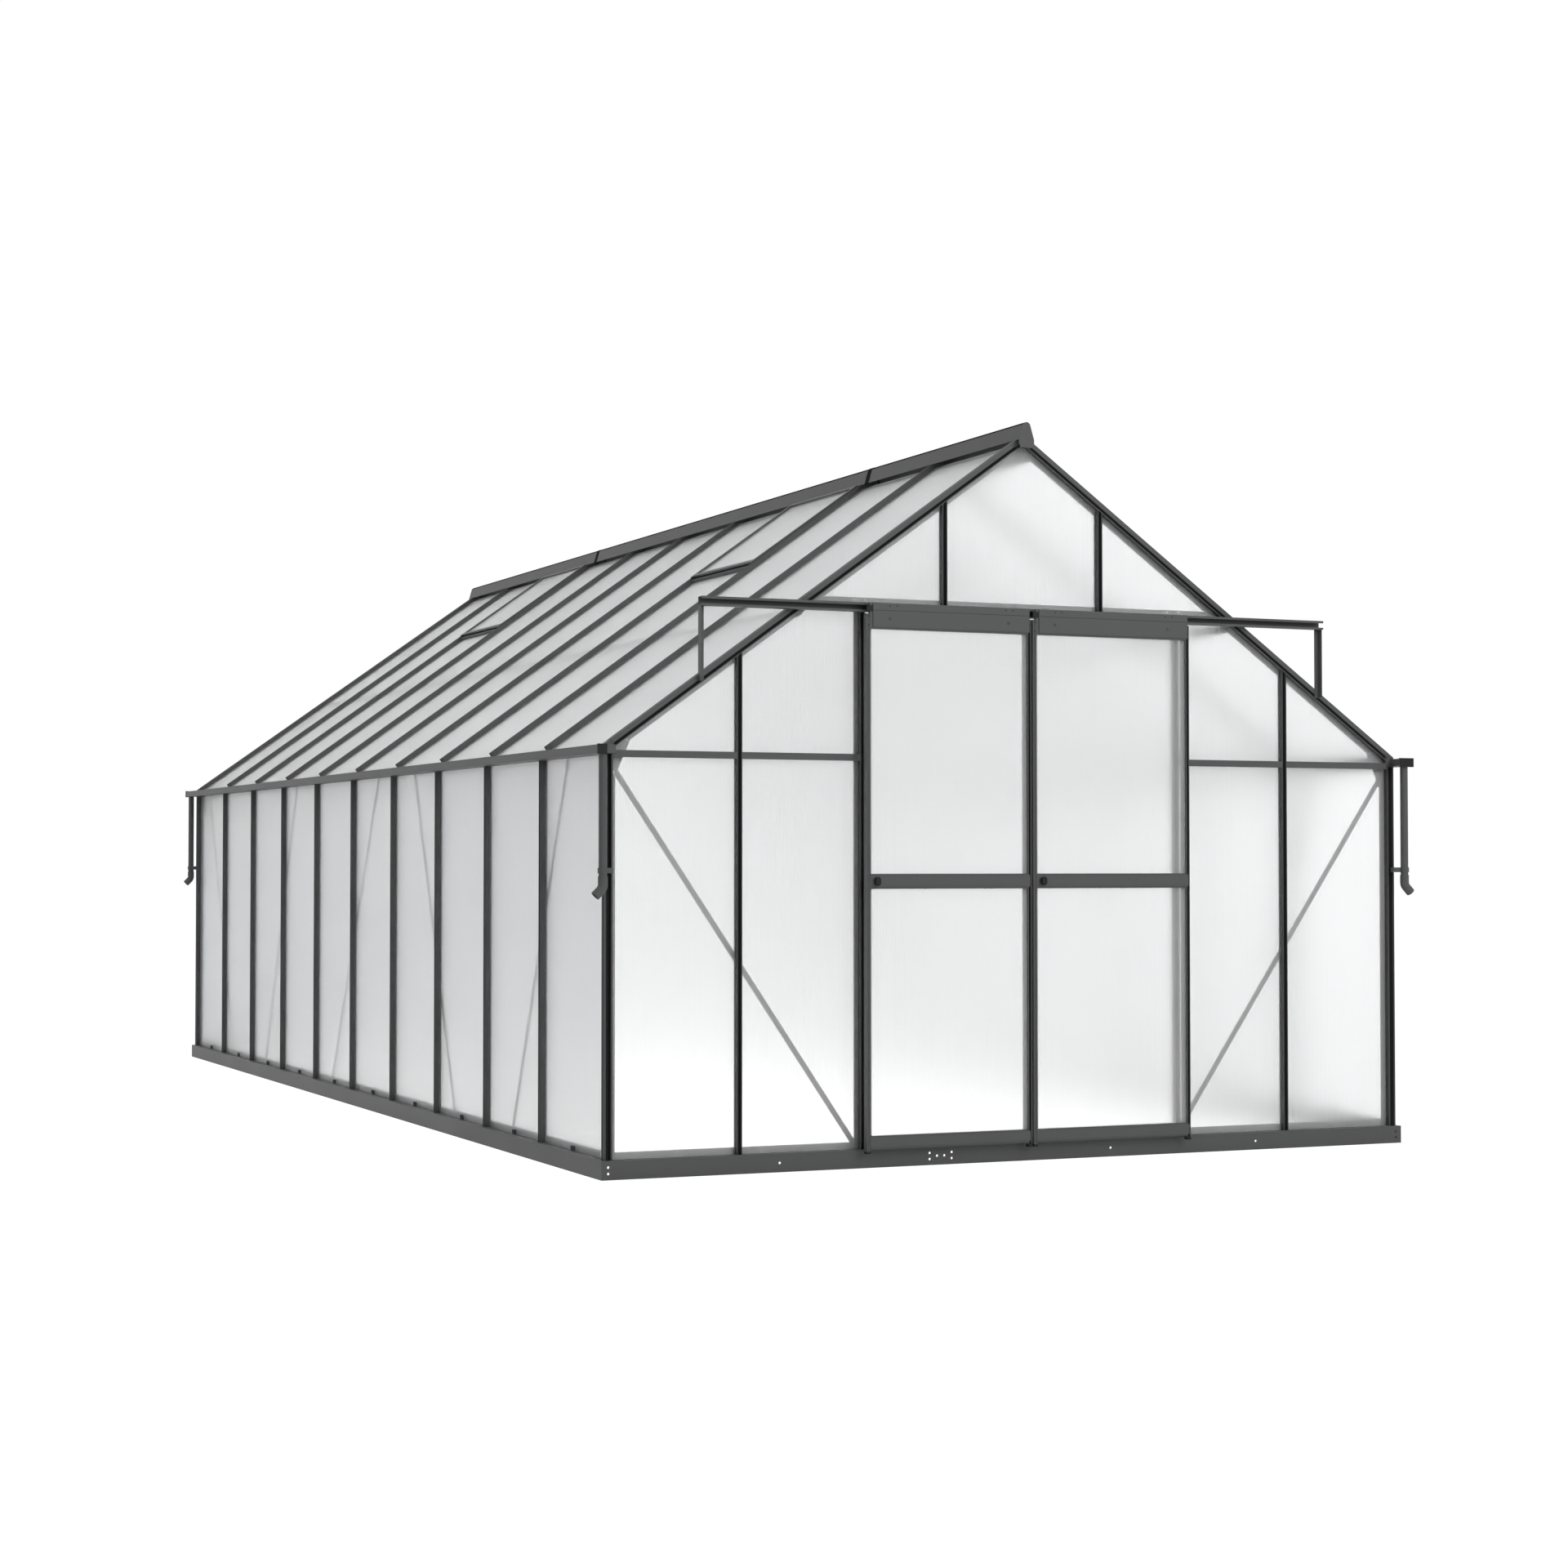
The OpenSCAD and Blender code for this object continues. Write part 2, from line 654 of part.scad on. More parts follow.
// The cap is a thin arch whose feet lie on the outer faces of the roof bars
module cap_arch(inset) difference() {
    cap_outline(inset, 0);
    cap_outline(inset + cap_wall, eps);
    under_roof(bar_out);
}

module ridge_joiners() color(dark_grey)
    for (i = joint_lines)
        along_ridge(bay_line(i) - joiner_len / 2, bay_line(i) + joiner_len / 2) cap_arch(joiner_inset);

module ridge_end_caps() color(frame_grey) both_ends()
    along_ridge(-half_len - ridge_over - end_plate_t, -half_len - ridge_over) {
        cap_outline(0, 0);
        foot = roof_z(cap_half, bar_out);
        polygon([[-end_foot, foot - end_drop], [end_foot, foot - end_drop],
                 [cap_half, foot - end_side], [cap_half, foot], [-cap_half, foot],
                 [-cap_half, foot - end_side]]);
    }

module roof_purlins() color(frame_grey) both_sides() on_slope()
    box3([purlin_at, -inner_half, flange_in - purlin_w], [purlin_at + purlin_w, inner_half, flange_in]);

// Eave beam and trough of the right wall in one section
module eave_section() {
    in = half_w - eave_beam_depth;
    out = side_mid + pane_t;
    floor = wall_top + gutter_wall;
    difference() {
        polygon([[in, wall_top], [out, wall_top],
                 [out, roof_z(out, flange_in)], [in, roof_z(in, flange_in)]]);
        polygon([[in + gutter_wall, floor], [out - gutter_wall, floor],
                 [out - gutter_wall, roof_z(out - gutter_wall, flange_in) - gutter_wall / cos(pitch)],
                 [in + gutter_wall, roof_z(in + gutter_wall, flange_in) - gutter_wall / cos(pitch)]]);
    }
}

module right_gutter_solid() {
    out = half_w + gutter_out;
    tip = half_len + gutter_end;
    top = wall_top + gutter_h;
    inner = side_mid + pane_t;
    along_ridge(-inner_half, inner_half) eave_section();
    difference() {
        union() {
            along_ridge(-tip, tip) {
                box2(post_in_x, out, wall_top, wall_top + gutter_wall);
                box2(out - gutter_wall, out, wall_top, top);
            }
            both_ends() {
                box3([inner, -tip, wall_top], [out, -tip + gutter_wall, top]);
                box3([inner, -tip, wall_top], [inner + gutter_wall, -half_len, top]);
            }
        }
        both_ends() translate([pipe_x, -pipe_y, wall_top - eps])
            cylinder(r = pipe_r - pipe_wall, h = gutter_wall + 2 * eps);
    }
}

module right_gutter() color(frame_grey) right_gutter_solid();
module left_gutter() color(frame_grey) mirror([1, 0, 0]) right_gutter_solid();

module downpipes() color(frame_grey) four_corners()
    translate([pipe_x, -pipe_y, pipe_low]) difference() {
        cylinder(r = pipe_r, h = wall_top - pipe_low);
        translate([0, 0, -eps]) cylinder(r = pipe_r - pipe_wall, h = wall_top - pipe_low + 2 * eps);
    }

// Elbow: collar under the pipe, a bend of 45 degrees, and a spout that points outwards
module elbow_run(r, over) {
    translate([0, 0, -elbow_len]) cylinder(r = r, h = elbow_len + over);
    translate([elbow_bend, 0, -elbow_len]) rotate([-90, 0, 180])
        rotate_extrude(angle = 45) translate([elbow_bend, 0]) circle(r);
    translate([elbow_bend * (1 - cos(45)), 0, -elbow_len - elbow_bend * sin(45)])
        rotate([0, 135, 0]) cylinder(r = r, h = elbow_len + over);
}

module downpipe_elbows() color(frame_grey) four_corners()
    translate([pipe_x, -pipe_y, pipe_low]) difference() {
        elbow_run(elbow_r, 0);
        elbow_run(pipe_r - pipe_wall, eps);
    }

// Band round the pipe with an arm to the corner post
module downpipe_clips() color(frame_grey) four_corners()
    translate([0, 0, pipe_low + clip_lift]) difference() {
        union() {
            translate([pipe_x, -pipe_y, 0]) cylinder(r = pipe_r + clip_play + clip_band, h = clip_h);
            box3([half_w - clip_arm, -pipe_y, 0], [pipe_x, -half_len, clip_h]);
        }
        translate([pipe_x, -pipe_y, -eps]) cylinder(r = pipe_r + clip_play, h = clip_h + 2 * eps);
    }

// Flat strip (u, z) between two points, cut level at both ends
module strip(u0, z0, u1, z1) {
    w = brace_w * norm([u1 - u0, z1 - z0]) / abs(z1 - z0) / 2;
    polygon([[u0 - w, z0], [u0 + w, z0], [u1 + w, z1], [u1 - w, z1]]);
}

brace_low = base_h + brace_foot;
brace_in = plate_in - brace_t;

module wind_braces() color(frame_grey) {
    four_corners() difference() {
        in_gable(brace_in, plate_in)
            strip(half_w - brace_corner, wall_top - brace_drop, door_post_x + brace_post, brace_low);
        eave_holes();
    }
    both_sides() for (b = side_braces)
        translate([side_mid + brace_in, 0, 0]) rotate([90, 0, 90]) linear_extrude(brace_t)
            strip(b[0] * bay, wall_top, b[1] * bay, brace_low);
}

// Plates behind the frame's flanges at the eaves and the apex
module gusset_plates() color(frame_grey) both_ends() in_gable(plate_in, flange_in) {
    both_sides() difference() {
        low_x = half_w - gusset_in[0];
        high_x = half_w - gusset_in[1];
        polygon([
            [post_in_x, wall_top - gusset_leg], [post_in_x, roof_z(post_in_x, flange_in)],
            [high_x, roof_z(high_x, flange_in)], [high_x, roof_z(high_x, lip_n) - gusset_step],
            [low_x, wall_top - gusset_leg + gusset_rise], [low_x, wall_top - gusset_leg]]);
        eave_circles();
    }
    difference() {
        polygon([
            [0, roof_z(0, flange_in)], [apex_gusset_half, roof_z(apex_gusset_half, flange_in)],
            [apex_gusset_half, roof_z(apex_gusset_half, lip_n)],
            [apex_gusset_foot, roof_z(apex_gusset_foot, lip_n)],
            [-apex_gusset_foot, roof_z(apex_gusset_foot, lip_n)],
            [-apex_gusset_half, roof_z(apex_gusset_half, lip_n)],
            [-apex_gusset_half, roof_z(apex_gusset_half, flange_in)]]);
        box2(-apex_slot_w / 2, apex_slot_w / 2,
             roof_z(apex_gusset_foot, lip_n) + apex_slot_edge, roof_z(0, lip_n) - apex_slot_edge);
    }
}

// Small clips that hold the bottom edge of each side panel on the base
module panel_clips() color(dark_grey) both_sides()
    for (i = [0 : side_bays - 1])
        translate([side_mid + groove, bay_line(i + 0.5) - clip_len / 2, base_h]) difference() {
            cube([clip_deep, clip_len, clip_high]);
            translate([clip_deep / 3, clip_len / 5, clip_high / 3])
                cube([clip_deep, clip_len * 3 / 5, clip_high]);
        }

// Edges of the panels along the side walls and the roof, bay by bay
function pane_from(i) = i == 0 ? -post_in_y + pane_gap : bay_line(i) + bar_edge;
function pane_to(i) = i == side_bays - 1 ? post_in_y - pane_gap : bay_line(i + 1) - bar_edge;

module right_panes()
    for (i = [0 : side_bays - 1])
        box3([side_mid - pane_t / 2, pane_from(i), base_h],
             [side_mid + pane_t / 2, pane_to(i), wall_top - pane_gap]);

module right_wall_panels() color(panel_white) right_panes();
module left_wall_panels() color(panel_white) mirror([1, 0, 0]) right_panes();

// Gable panel: a rectangle cut off under the rafters
module gable_pane(x0, x1, z0, z1)
    in_gable(-pane_t / 2, pane_t / 2) intersection() {
        box2(x0, x1, z0, z1);
        under_roof(flange_in - pane_gap);
    }

module front_gable_panels() color(panel_white) {
    low = eave_rail_z - bar_edge;
    high = eave_rail_z + bar_edge;
    both_sides() {
        for (z = [[base_h, low], [high, apex_z]])
            gable_pane(stud_x + bar_edge, post_in_x - pane_gap, z[0], z[1]);
        for (z = [[base_h, low], [high, lintel_z - bar_edge]])
            gable_pane(door_post_x + bar_edge, stud_x - bar_edge, z[0], z[1]);
        gable_pane(upper_stud_x + bar_edge, half_w, lintel_z + bar_edge, apex_z);
    }
    gable_pane(-upper_stud_x + bar_edge, upper_stud_x - bar_edge, lintel_z + bar_edge, apex_z);
}

module back_gable_panels() color(panel_white) mirror([0, 1, 0])
    for (z = [[base_h, eave_rail_z - bar_edge], [eave_rail_z + bar_edge, apex_z]]) {
        both_sides() {
            gable_pane(back_stud_x[1] + bar_edge, post_in_x - pane_gap, z[0], z[1]);
            gable_pane(back_stud_x[0] + bar_edge, back_stud_x[1] - bar_edge, z[0], z[1]);
        }
        gable_pane(-back_stud_x[0] + bar_edge, back_stud_x[0] - bar_edge, z[0], z[1]);
    }

function has_vent(i) = len([for (v = vent_bays) if (v == i + 1) v]) > 0;

module right_roof_panes()
    for (i = [0 : side_bays - 1]) right_of_ridge(roof_pane_x) on_slope()
        box3([has_vent(i) ? vent_len + sill_w + pane_gap : slope_top, pane_from(i), -pane_t / 2],
             [slope_end, pane_to(i), pane_t / 2]);

module right_roof_panels() color(panel_white) right_roof_panes();
module left_roof_panels() color(panel_white) mirror([1, 0, 0]) right_roof_panes();

// Vents lie closed on the roof bars, with a fixed sill below each of them
module vent_frames() color(frame_grey) both_sides() on_slope() for (v = vent_bays) {
    y0 = bay_line(v - 1) + bar_w / 2 - vent_lap;
    y1 = bay_line(v) - bar_w / 2 + vent_lap;
    for (y = [y0, y1 - vent_bar])
        box3([vent_top, y, bar_out], [vent_len + vent_nose, y + vent_bar, bar_out + vent_bar_h]);
    for (s = [vent_top, vent_len - vent_bar])
        box3([s, y0 + vent_bar + vent_joint, bar_out],
             [s + vent_bar, y1 - vent_bar - vent_joint, bar_out + vent_bar_h]);
    box3([vent_len, bay_line(v - 1) + bar_w / 2, flange_in],
         [vent_len + sill_w, bay_line(v) - bar_w / 2, bar_out - sill_set]);
}

module vent_panels() color(panel_white) both_sides() on_slope() for (v = vent_bays)
    box3([vent_top, bay_line(v - 1) + bar_w / 2 + vent_play, bar_out - pane_play - pane_t],
         [vent_len - pane_gap, bay_line(v) - bar_w / 2 - vent_play, bar_out - pane_play]);

// Runs a section (distance in front of the gable frame, height) along X
module along_track(x0, x1)
    translate([x0, -half_len, 0]) rotate([90, 0, 90]) linear_extrude(x1 - x0) mirror([1, 0]) children();

module door_track() color(frame_grey) along_track(-track_half, track_half) {
    top = track_low + track_h;
    box2(0, track_wall, track_low, top);
    box2(0, track_depth, track_low, track_low + track_wall);
    box2(0, track_depth, top - track_wall, top);
    box2(track_depth - track_wall, track_depth, top - track_lip, top);
    box2(track_depth - track_wall, track_depth, track_low, track_low + track_foot);
    box2((track_depth - rib_w) / 2, (track_depth + rib_w) / 2, track_low, rib_top);
}

// Angle bars from the track's ends down to the rafters, or up to them over a low track
module track_brackets() color(frame_grey) both_sides() {
    lap_z = roof_z(track_half, bar_out) - bracket_lap;
    top = track_low + track_h;
    span = lap_z < track_low ? [lap_z, track_low] : [top, max(lap_z, top) + bracket_lap];
    box3([track_half - bracket_w, -half_len - bracket_t, span[0]], [track_half, -half_len, span[1]]);
    box3([track_half - bracket_t, -half_len - bracket_deep, span[0]], [track_half, -half_len, span[1]]);
}

// Door leaf pieces, from the leaf's left edge, between two depths behind its front
module in_leaf(x, w0, w1)
    translate([x, -leaf_back - w0, 0]) rotate([90, 0, 0]) linear_extrude(w1 - w0) children();

leaf_pane_w0 = (leaf_depth - pane_t) / 2;
stile_flange = leaf_pane_w0 - pane_play;

leaf_face = leaf_depth + rail_plate;

// The left stile stands flush with the rails' plates and has two fine lines; the right one is slotted
module leaf_stiles(x) {
    difference() {
        in_leaf(x, 0, leaf_face) box2(0, stile_edge, leaf_low, leaf_high);
        in_leaf(x, leaf_face - line_d, leaf_face + eps)
            for (u = [0.35, 0.75] * stile_edge) box2(u, u + line_w, 0, apex_z);
    }
    difference() {
        in_leaf(x, 0, leaf_depth) box2(leaf_w - stile_edge, leaf_w, leaf_low, leaf_high);
        in_leaf(x, leaf_depth - stile_slot_d, leaf_depth + eps)
            box2(leaf_w - stile_edge + stile_wall, leaf_w - stile_wall, 0, apex_z);
    }
    in_leaf(x, 0, stile_flange) {
        box2(stile_edge, stile_w, leaf_low, leaf_high);
        box2(leaf_w - stile_w, leaf_w - stile_edge, leaf_low, leaf_high);
    }
}

// Rails with a plate on their front that laps over the right stile; the top one has a fine line
module leaf_rails(x) difference() {
    for (k = [0 : 2]) {
        z0 = rail_z[k];
        z1 = rail_z[k] + rail_h[k];
        in_leaf(x, 0, stile_flange) box2(stile_w, leaf_w - stile_w, z0, z1);
        in_leaf(x, stile_flange, leaf_depth) box2(stile_edge, leaf_w - stile_edge, z0, z1);
        in_leaf(x, leaf_depth, leaf_face)
            box2(k < 2 ? stile_edge : stile_w, leaf_w - stile_edge / 2,
                 z0 + plate_step[0], z1 - (k < 2 ? plate_step[1] : 0));
    }
    line_z = rail_z[2] + rail_h[2] - line_drop;
    in_leaf(x, leaf_face - line_d, leaf_face + eps) box2(0, leaf_w, line_z - line_w, line_z);
}

module leaf_panels(x)
    for (k = [0, 1]) in_leaf(x, leaf_pane_w0, leaf_pane_w0 + pane_t)
        box2(stile_edge + pane_gap / 2, leaf_w - stile_edge - pane_gap / 2,
             rail_z[k] + rail_h[k], rail_z[k + 1] - pane_gap / 2);

// Grooved rollers on axles that stand out from the back of the top rail
module leaf_rollers(x) {
    half = roller_w / 2;
    floor = rib_w;
    for (u = [roller_inset, leaf_w - roller_inset])
        translate([x + u, -roller_y, roller_z]) rotate([90, 0, 0]) {
            rotate_extrude() polygon([
                [0, -half], [roller_r, -half], [roller_groove_r, -floor], [roller_groove_r, floor],
                [roller_r, half], [0, half]]);
            cylinder(r = axle_r, h = leaf_back - roller_y);
        }
}

// Disc drawn out into an oval, between two heights
module oval(r, h0, h1) translate([0, 0, h0]) {
    for (m = [-0.5, 0.5]) translate([0, m * knob_long, 0]) cylinder(r = r, h = h1 - h0);
    translate([-r, -knob_long / 2, 0]) cube([2 * r, knob_long, h1 - h0]);
}

// Oval pull knob on the middle rail: neck, head and rounded front in steps
module leaf_knob(x) translate([x + knob_x, -leaf_front, knob_z]) rotate([90, 0, 0]) {
    oval(knob_r * 0.65, 0, knob_out * 0.4);
    oval(knob_r, knob_out * 0.4, knob_out * 0.85);
    oval(knob_r * 0.85, knob_out * 0.85, knob_out);
}

module left_door_stiles() color(frame_grey) leaf_stiles(leaf_lefts[0]);
module left_door_rails() color(frame_grey) leaf_rails(leaf_lefts[0]);
module left_door_panels() color(panel_white) leaf_panels(leaf_lefts[0]);
module left_door_rollers() color(dark_grey) leaf_rollers(leaf_lefts[0]);
module left_door_knob() color(dark_grey) leaf_knob(leaf_lefts[0]);
module right_door_stiles() color(frame_grey) leaf_stiles(leaf_lefts[1]);
module right_door_rails() color(frame_grey) leaf_rails(leaf_lefts[1]);
module right_door_panels() color(panel_white) leaf_panels(leaf_lefts[1]);
module right_door_rollers() color(dark_grey) leaf_rollers(leaf_lefts[1]);
module right_door_knob() color(dark_grey) leaf_knob(leaf_lefts[1]);

placed() base_front();
placed() base_back();
placed() base_sides();
placed() corner_posts();
placed() left_wall_studs();
placed() right_wall_studs();
placed() front_gable_studs();
placed() door_posts();
placed() back_gable_studs();
placed() gable_rails();
placed() door_lintel();
placed() gable_rafters();
placed() left_roof_bars();
placed() right_roof_bars();
placed() ridge_beam();
placed() ridge_caps();
placed() ridge_joiners();
placed() ridge_end_caps();
placed() roof_purlins();
placed() left_gutter();
placed() right_gutter();
placed() downpipes();
placed() downpipe_elbows();
placed() downpipe_clips();
placed() wind_braces();
placed() gusset_plates();
placed() panel_clips();
placed() left_wall_panels();
placed() right_wall_panels();
placed() front_gable_panels();
placed() back_gable_panels();
placed() left_roof_panels();
placed() right_roof_panels();
placed() vent_frames();
placed() vent_panels();
placed() door_track();
placed() track_brackets();
placed() left_door_stiles();
placed() left_door_rails();
placed() left_door_panels();
placed() left_door_rollers();
placed() left_door_knob();
placed() right_door_stiles();
placed() right_door_rails();
placed() right_door_panels();
placed() right_door_rollers();
placed() right_door_knob();
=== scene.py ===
# %% [markdown]
# # A polycarbonate greenhouse, dressed in Blender
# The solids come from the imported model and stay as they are. This lesson gives them their finishes,
# adds the small hardware that is too fine for the solids, and sets up a plain white studio.

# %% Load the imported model
import json
import math

import bmesh
import bpy
from mathutils import Matrix, Vector


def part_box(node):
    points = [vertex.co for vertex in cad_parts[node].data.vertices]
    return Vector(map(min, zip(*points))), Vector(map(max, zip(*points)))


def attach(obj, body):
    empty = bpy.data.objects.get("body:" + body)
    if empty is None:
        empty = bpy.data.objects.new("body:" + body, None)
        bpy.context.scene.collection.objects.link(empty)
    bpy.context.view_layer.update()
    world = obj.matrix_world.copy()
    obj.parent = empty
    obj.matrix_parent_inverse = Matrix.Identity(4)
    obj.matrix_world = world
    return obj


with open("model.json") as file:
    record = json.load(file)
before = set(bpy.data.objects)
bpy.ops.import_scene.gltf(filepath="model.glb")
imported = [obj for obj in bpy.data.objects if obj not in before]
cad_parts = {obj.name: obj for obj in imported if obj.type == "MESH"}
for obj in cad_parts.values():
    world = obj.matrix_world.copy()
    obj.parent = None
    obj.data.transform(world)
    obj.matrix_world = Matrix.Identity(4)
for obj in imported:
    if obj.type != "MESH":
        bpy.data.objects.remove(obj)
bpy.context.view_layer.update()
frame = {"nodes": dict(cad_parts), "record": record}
nodes = frame["nodes"]
print("solids loaded:", len(nodes), "nodes")

# %% [markdown]
# ## Camera
# The photograph was taken from the front left, at about the height of the door knobs. Its place was found
# by matching the corners of the building, so the numbers are a plain position, two angles and a lens.
# A camera that tracks an empty would do as well, but angles keep the horizon level by themselves.

# %% Camera
EYE = Vector((-4.5003, -11.3819, 0.9883))
TURN_RIGHT = math.radians(23.554)
LOOK_UP = math.radians(1.628)
SENSOR_MM = 36.0
LENS_MM = 64.555
FAR_CLIP = 200.0

camera_data = bpy.data.cameras.new("camera")
camera_data.sensor_width = SENSOR_MM
camera_data.lens = LENS_MM
camera_data.clip_end = FAR_CLIP
camera = bpy.data.objects.new("camera", camera_data)
camera.location = EYE
camera.rotation_euler = (math.pi / 2 + LOOK_UP, 0.0, -TURN_RIGHT)
bpy.context.scene.collection.objects.link(camera)
bpy.context.scene.camera = camera
bpy.context.scene.view_settings.view_transform = "Standard"
print("camera lens", LENS_MM, "mm")

# %% [markdown]
# ## Shader maths as plain arithmetic
# A material is a graph of nodes. Building it by hand takes many lines for each small sum, so one class wraps
# an output socket and turns + - * / into Math nodes, and a second one makes every other node.

# %% Sockets that can be added and multiplied
class Wire:
    """One output socket of a node tree."""

    def __init__(self, bench, socket):
        self.bench = bench
        self.socket = socket

    def calc(self, operation, first, second):
        return self.bench.node("ShaderNodeMath", {"operation": operation}, {0: first, 1: second})

    def __add__(self, other):
        return self.calc("ADD", self, other)

    def __radd__(self, other):
        return self.calc("ADD", other, self)

    def __sub__(self, other):
        return self.calc("SUBTRACT", self, other)

    def __rsub__(self, other):
        return self.calc("SUBTRACT", other, self)

    def __mul__(self, other):
        return self.calc("MULTIPLY", self, other)

    def __rmul__(self, other):
        return self.calc("MULTIPLY", other, self)

    def __truediv__(self, other):
        return self.calc("DIVIDE", self, other)

    def __rtruediv__(self, other):
        return self.calc("DIVIDE", other, self)


class Bench:
    """A node tree, and the one method that adds nodes to it."""

    def __init__(self, owner):
        owner.use_nodes = True
        self.tree = owner.node_tree
        self.tree.nodes.clear()

    def node(self, kind, settings, sockets, out=None):
        made = self.tree.nodes.new(kind)
        for key, value in settings.items():
            setattr(made, key, value)
        for key, value in sockets.items():
            socket = self.find(made.inputs, key)
            if isinstance(value, Wire):
                self.tree.links.new(value.socket, socket)
            else:
                socket.default_value = value
        shown = [s for s in made.outputs if s.enabled]
        if not shown:
            return None
        return Wire(self, shown[0] if out is None else made.outputs[out])

    def find(self, inputs, key):
        if isinstance(key, int):
            return inputs[key]
        return next(s for s in inputs if s.name == key and s.enabled)


def new_finish(name):
    """A new material and the bench to build it on."""
    material = bpy.data.materials.new(name)
    return material, Bench(material)


print("shader bench ready")

# %% [markdown]
# ## Studio
# The photograph stands on pure white. A white world that only the camera, mirrors and clear sheets see gives
# that white, while a dimmer world and two large soft lamps light the object at a plain level. Turning the
# lamps up until the floor clips would give the same white, but would wash out the pale panels. What shines
# through a sheet is a little stronger still, so that the panels glow against the light behind them.

# %% World
WHITE = (1.0, 1.0, 1.0, 1.0)
WORLD_FILL = 0.5
THROUGH_GAIN = 0.43


def ray_is(bench, kind):
    """1 for rays of one kind, 0 for the others."""
    return bench.node("ShaderNodeLightPath", {}, {}, "Is " + kind + " Ray")


def seen_through(bench):
    """1 for rays that have come through a clear sheet."""
    return ray_is(bench, "Transmission")


def seen_directly(bench):
    """1 for rays of the camera, of mirrors and through clear sheets, 0 for the others."""
    direct = ray_is(bench, "Camera")
    direct = direct.calc("MAXIMUM", direct, ray_is(bench, "Glossy"))
    return direct.calc("MAXIMUM", direct, seen_through(bench))


world = bpy.data.worlds.new("studio")
bpy.context.scene.world = world
sky = Bench(world)
strength = WORLD_FILL + seen_directly(sky) * (1.0 - WORLD_FILL) + seen_through(sky) * THROUGH_GAIN
glow = sky.node("ShaderNodeBackground", {}, {"Color": WHITE, "Strength": strength})
sky.node("ShaderNodeOutputWorld", {}, {"Surface": glow})
print("world fill", WORLD_FILL)

# %% Floor
FLOOR_HALF = 60.0
FLOOR_WHITE = 0.86
FLOOR_GLOW = 1.15
FLOOR_GAIN = 0.08
PAPER_TONE = (0.9, 0.9, 0.9, 1.0)
PAPER_ROUGH = 0.9

floor_finish, bench = new_finish("studio_floor")
paper = bench.node("ShaderNodeBsdfPrincipled", {}, {
    "Base Color": PAPER_TONE, "Roughness": PAPER_ROUGH, "Specular IOR Level": 0.0})
white = bench.node("ShaderNodeEmission", {}, {
    "Color": WHITE, "Strength": FLOOR_GLOW + seen_through(bench) * FLOOR_GAIN})
mixed = bench.node("ShaderNodeMixShader", {}, {0: seen_directly(bench) * FLOOR_WHITE, 1: paper, 2: white})
bench.node("ShaderNodeOutputMaterial", {}, {"Surface": mixed})

bm = bmesh.new()
bmesh.ops.create_grid(bm, x_segments=1, y_segments=1, size=FLOOR_HALF)
floor_mesh = bpy.data.meshes.new("floor")
bm.to_mesh(floor_mesh)
bm.free()
floor = bpy.data.objects.new("floor", floor_mesh)
floor_mesh.materials.append(floor_finish)
bpy.context.scene.collection.objects.link(floor)
print("floor", 2 * FLOOR_HALF, "m wide")

# %% Lamps
LAMP_AIM = Vector((0.0, 0.0, 1.0))
LAMPS = {
    "front_lamp": {"place": Vector((3.0, -13.0, 7.0)), "side": 8.0, "watts": 700.0},
    "top_lamp": {"place": Vector((-3.0, 2.0, 11.0)), "side": 9.0, "watts": 300.0},
}
for name, facts in LAMPS.items():
    data = bpy.data.lights.new(name, "AREA")
    data.shape = "SQUARE"
    data.size = facts["side"]
    data.energy = facts["watts"]
    lamp = bpy.data.objects.new(name, data)
    lamp.location = facts["place"]
    lamp.rotation_euler = (LAMP_AIM - facts["place"]).to_track_quat("-Z", "Y").to_euler()
    bpy.context.scene.collection.objects.link(lamp)
print("lamps:", ", ".join(LAMPS))

# %% [markdown]
# ## Charcoal powder coat
# The frame is aluminium with a baked-on powder coat. Close up the coat is an even satin grey with a faint
# orange-peel skin and tiny lighter grains. Noise at three sizes does this: one of an arm's length for the
# tone, one of a millimetre for the grains, and one of three millimetres for the bump. The studs and posts
# get the same recipe with a darker tone, as painted shade for the shadow that their slots and sides hold.

# %% Helpers for every finish
NOISE_MIDDLE = 0.5


def grains(bench, scale, detail=2.0):
    """Noise on the object's own coordinates; scale is in grains a metre."""
    place = bench.node("ShaderNodeTexCoord", {}, {}, "Object")
    return bench.node("ShaderNodeTexNoise", {}, {"Vector": place, "Scale": scale, "Detail": detail})


def shade(tone, share):
    """A tone made darker or paler."""
    return [share * c for c in tone]


def blend_colour(bench, share, first, second):
    """A colour that goes from the first to the second as share goes from 0 to 1."""
    return bench.node("ShaderNodeMix", {"data_type": "RGBA"},
                      {"Factor": share, "A": (*first, 1.0), "B": (*second, 1.0)})


def relief(bench, height, strength, depth):
    """A bump for the Normal socket; depth is in metres."""
    return bench.node("ShaderNodeBump", {}, {"Strength": strength, "Distance": depth, "Height": height})


def plain_body(bench, sockets):
    """Closes a finish with one Principled shader."""
    body = bench.node("ShaderNodeBsdfPrincipled", {}, sockets)
    bench.node("ShaderNodeOutputMaterial", {}, {"Surface": body})


print("helpers ready; noise varies about", NOISE_MIDDLE)

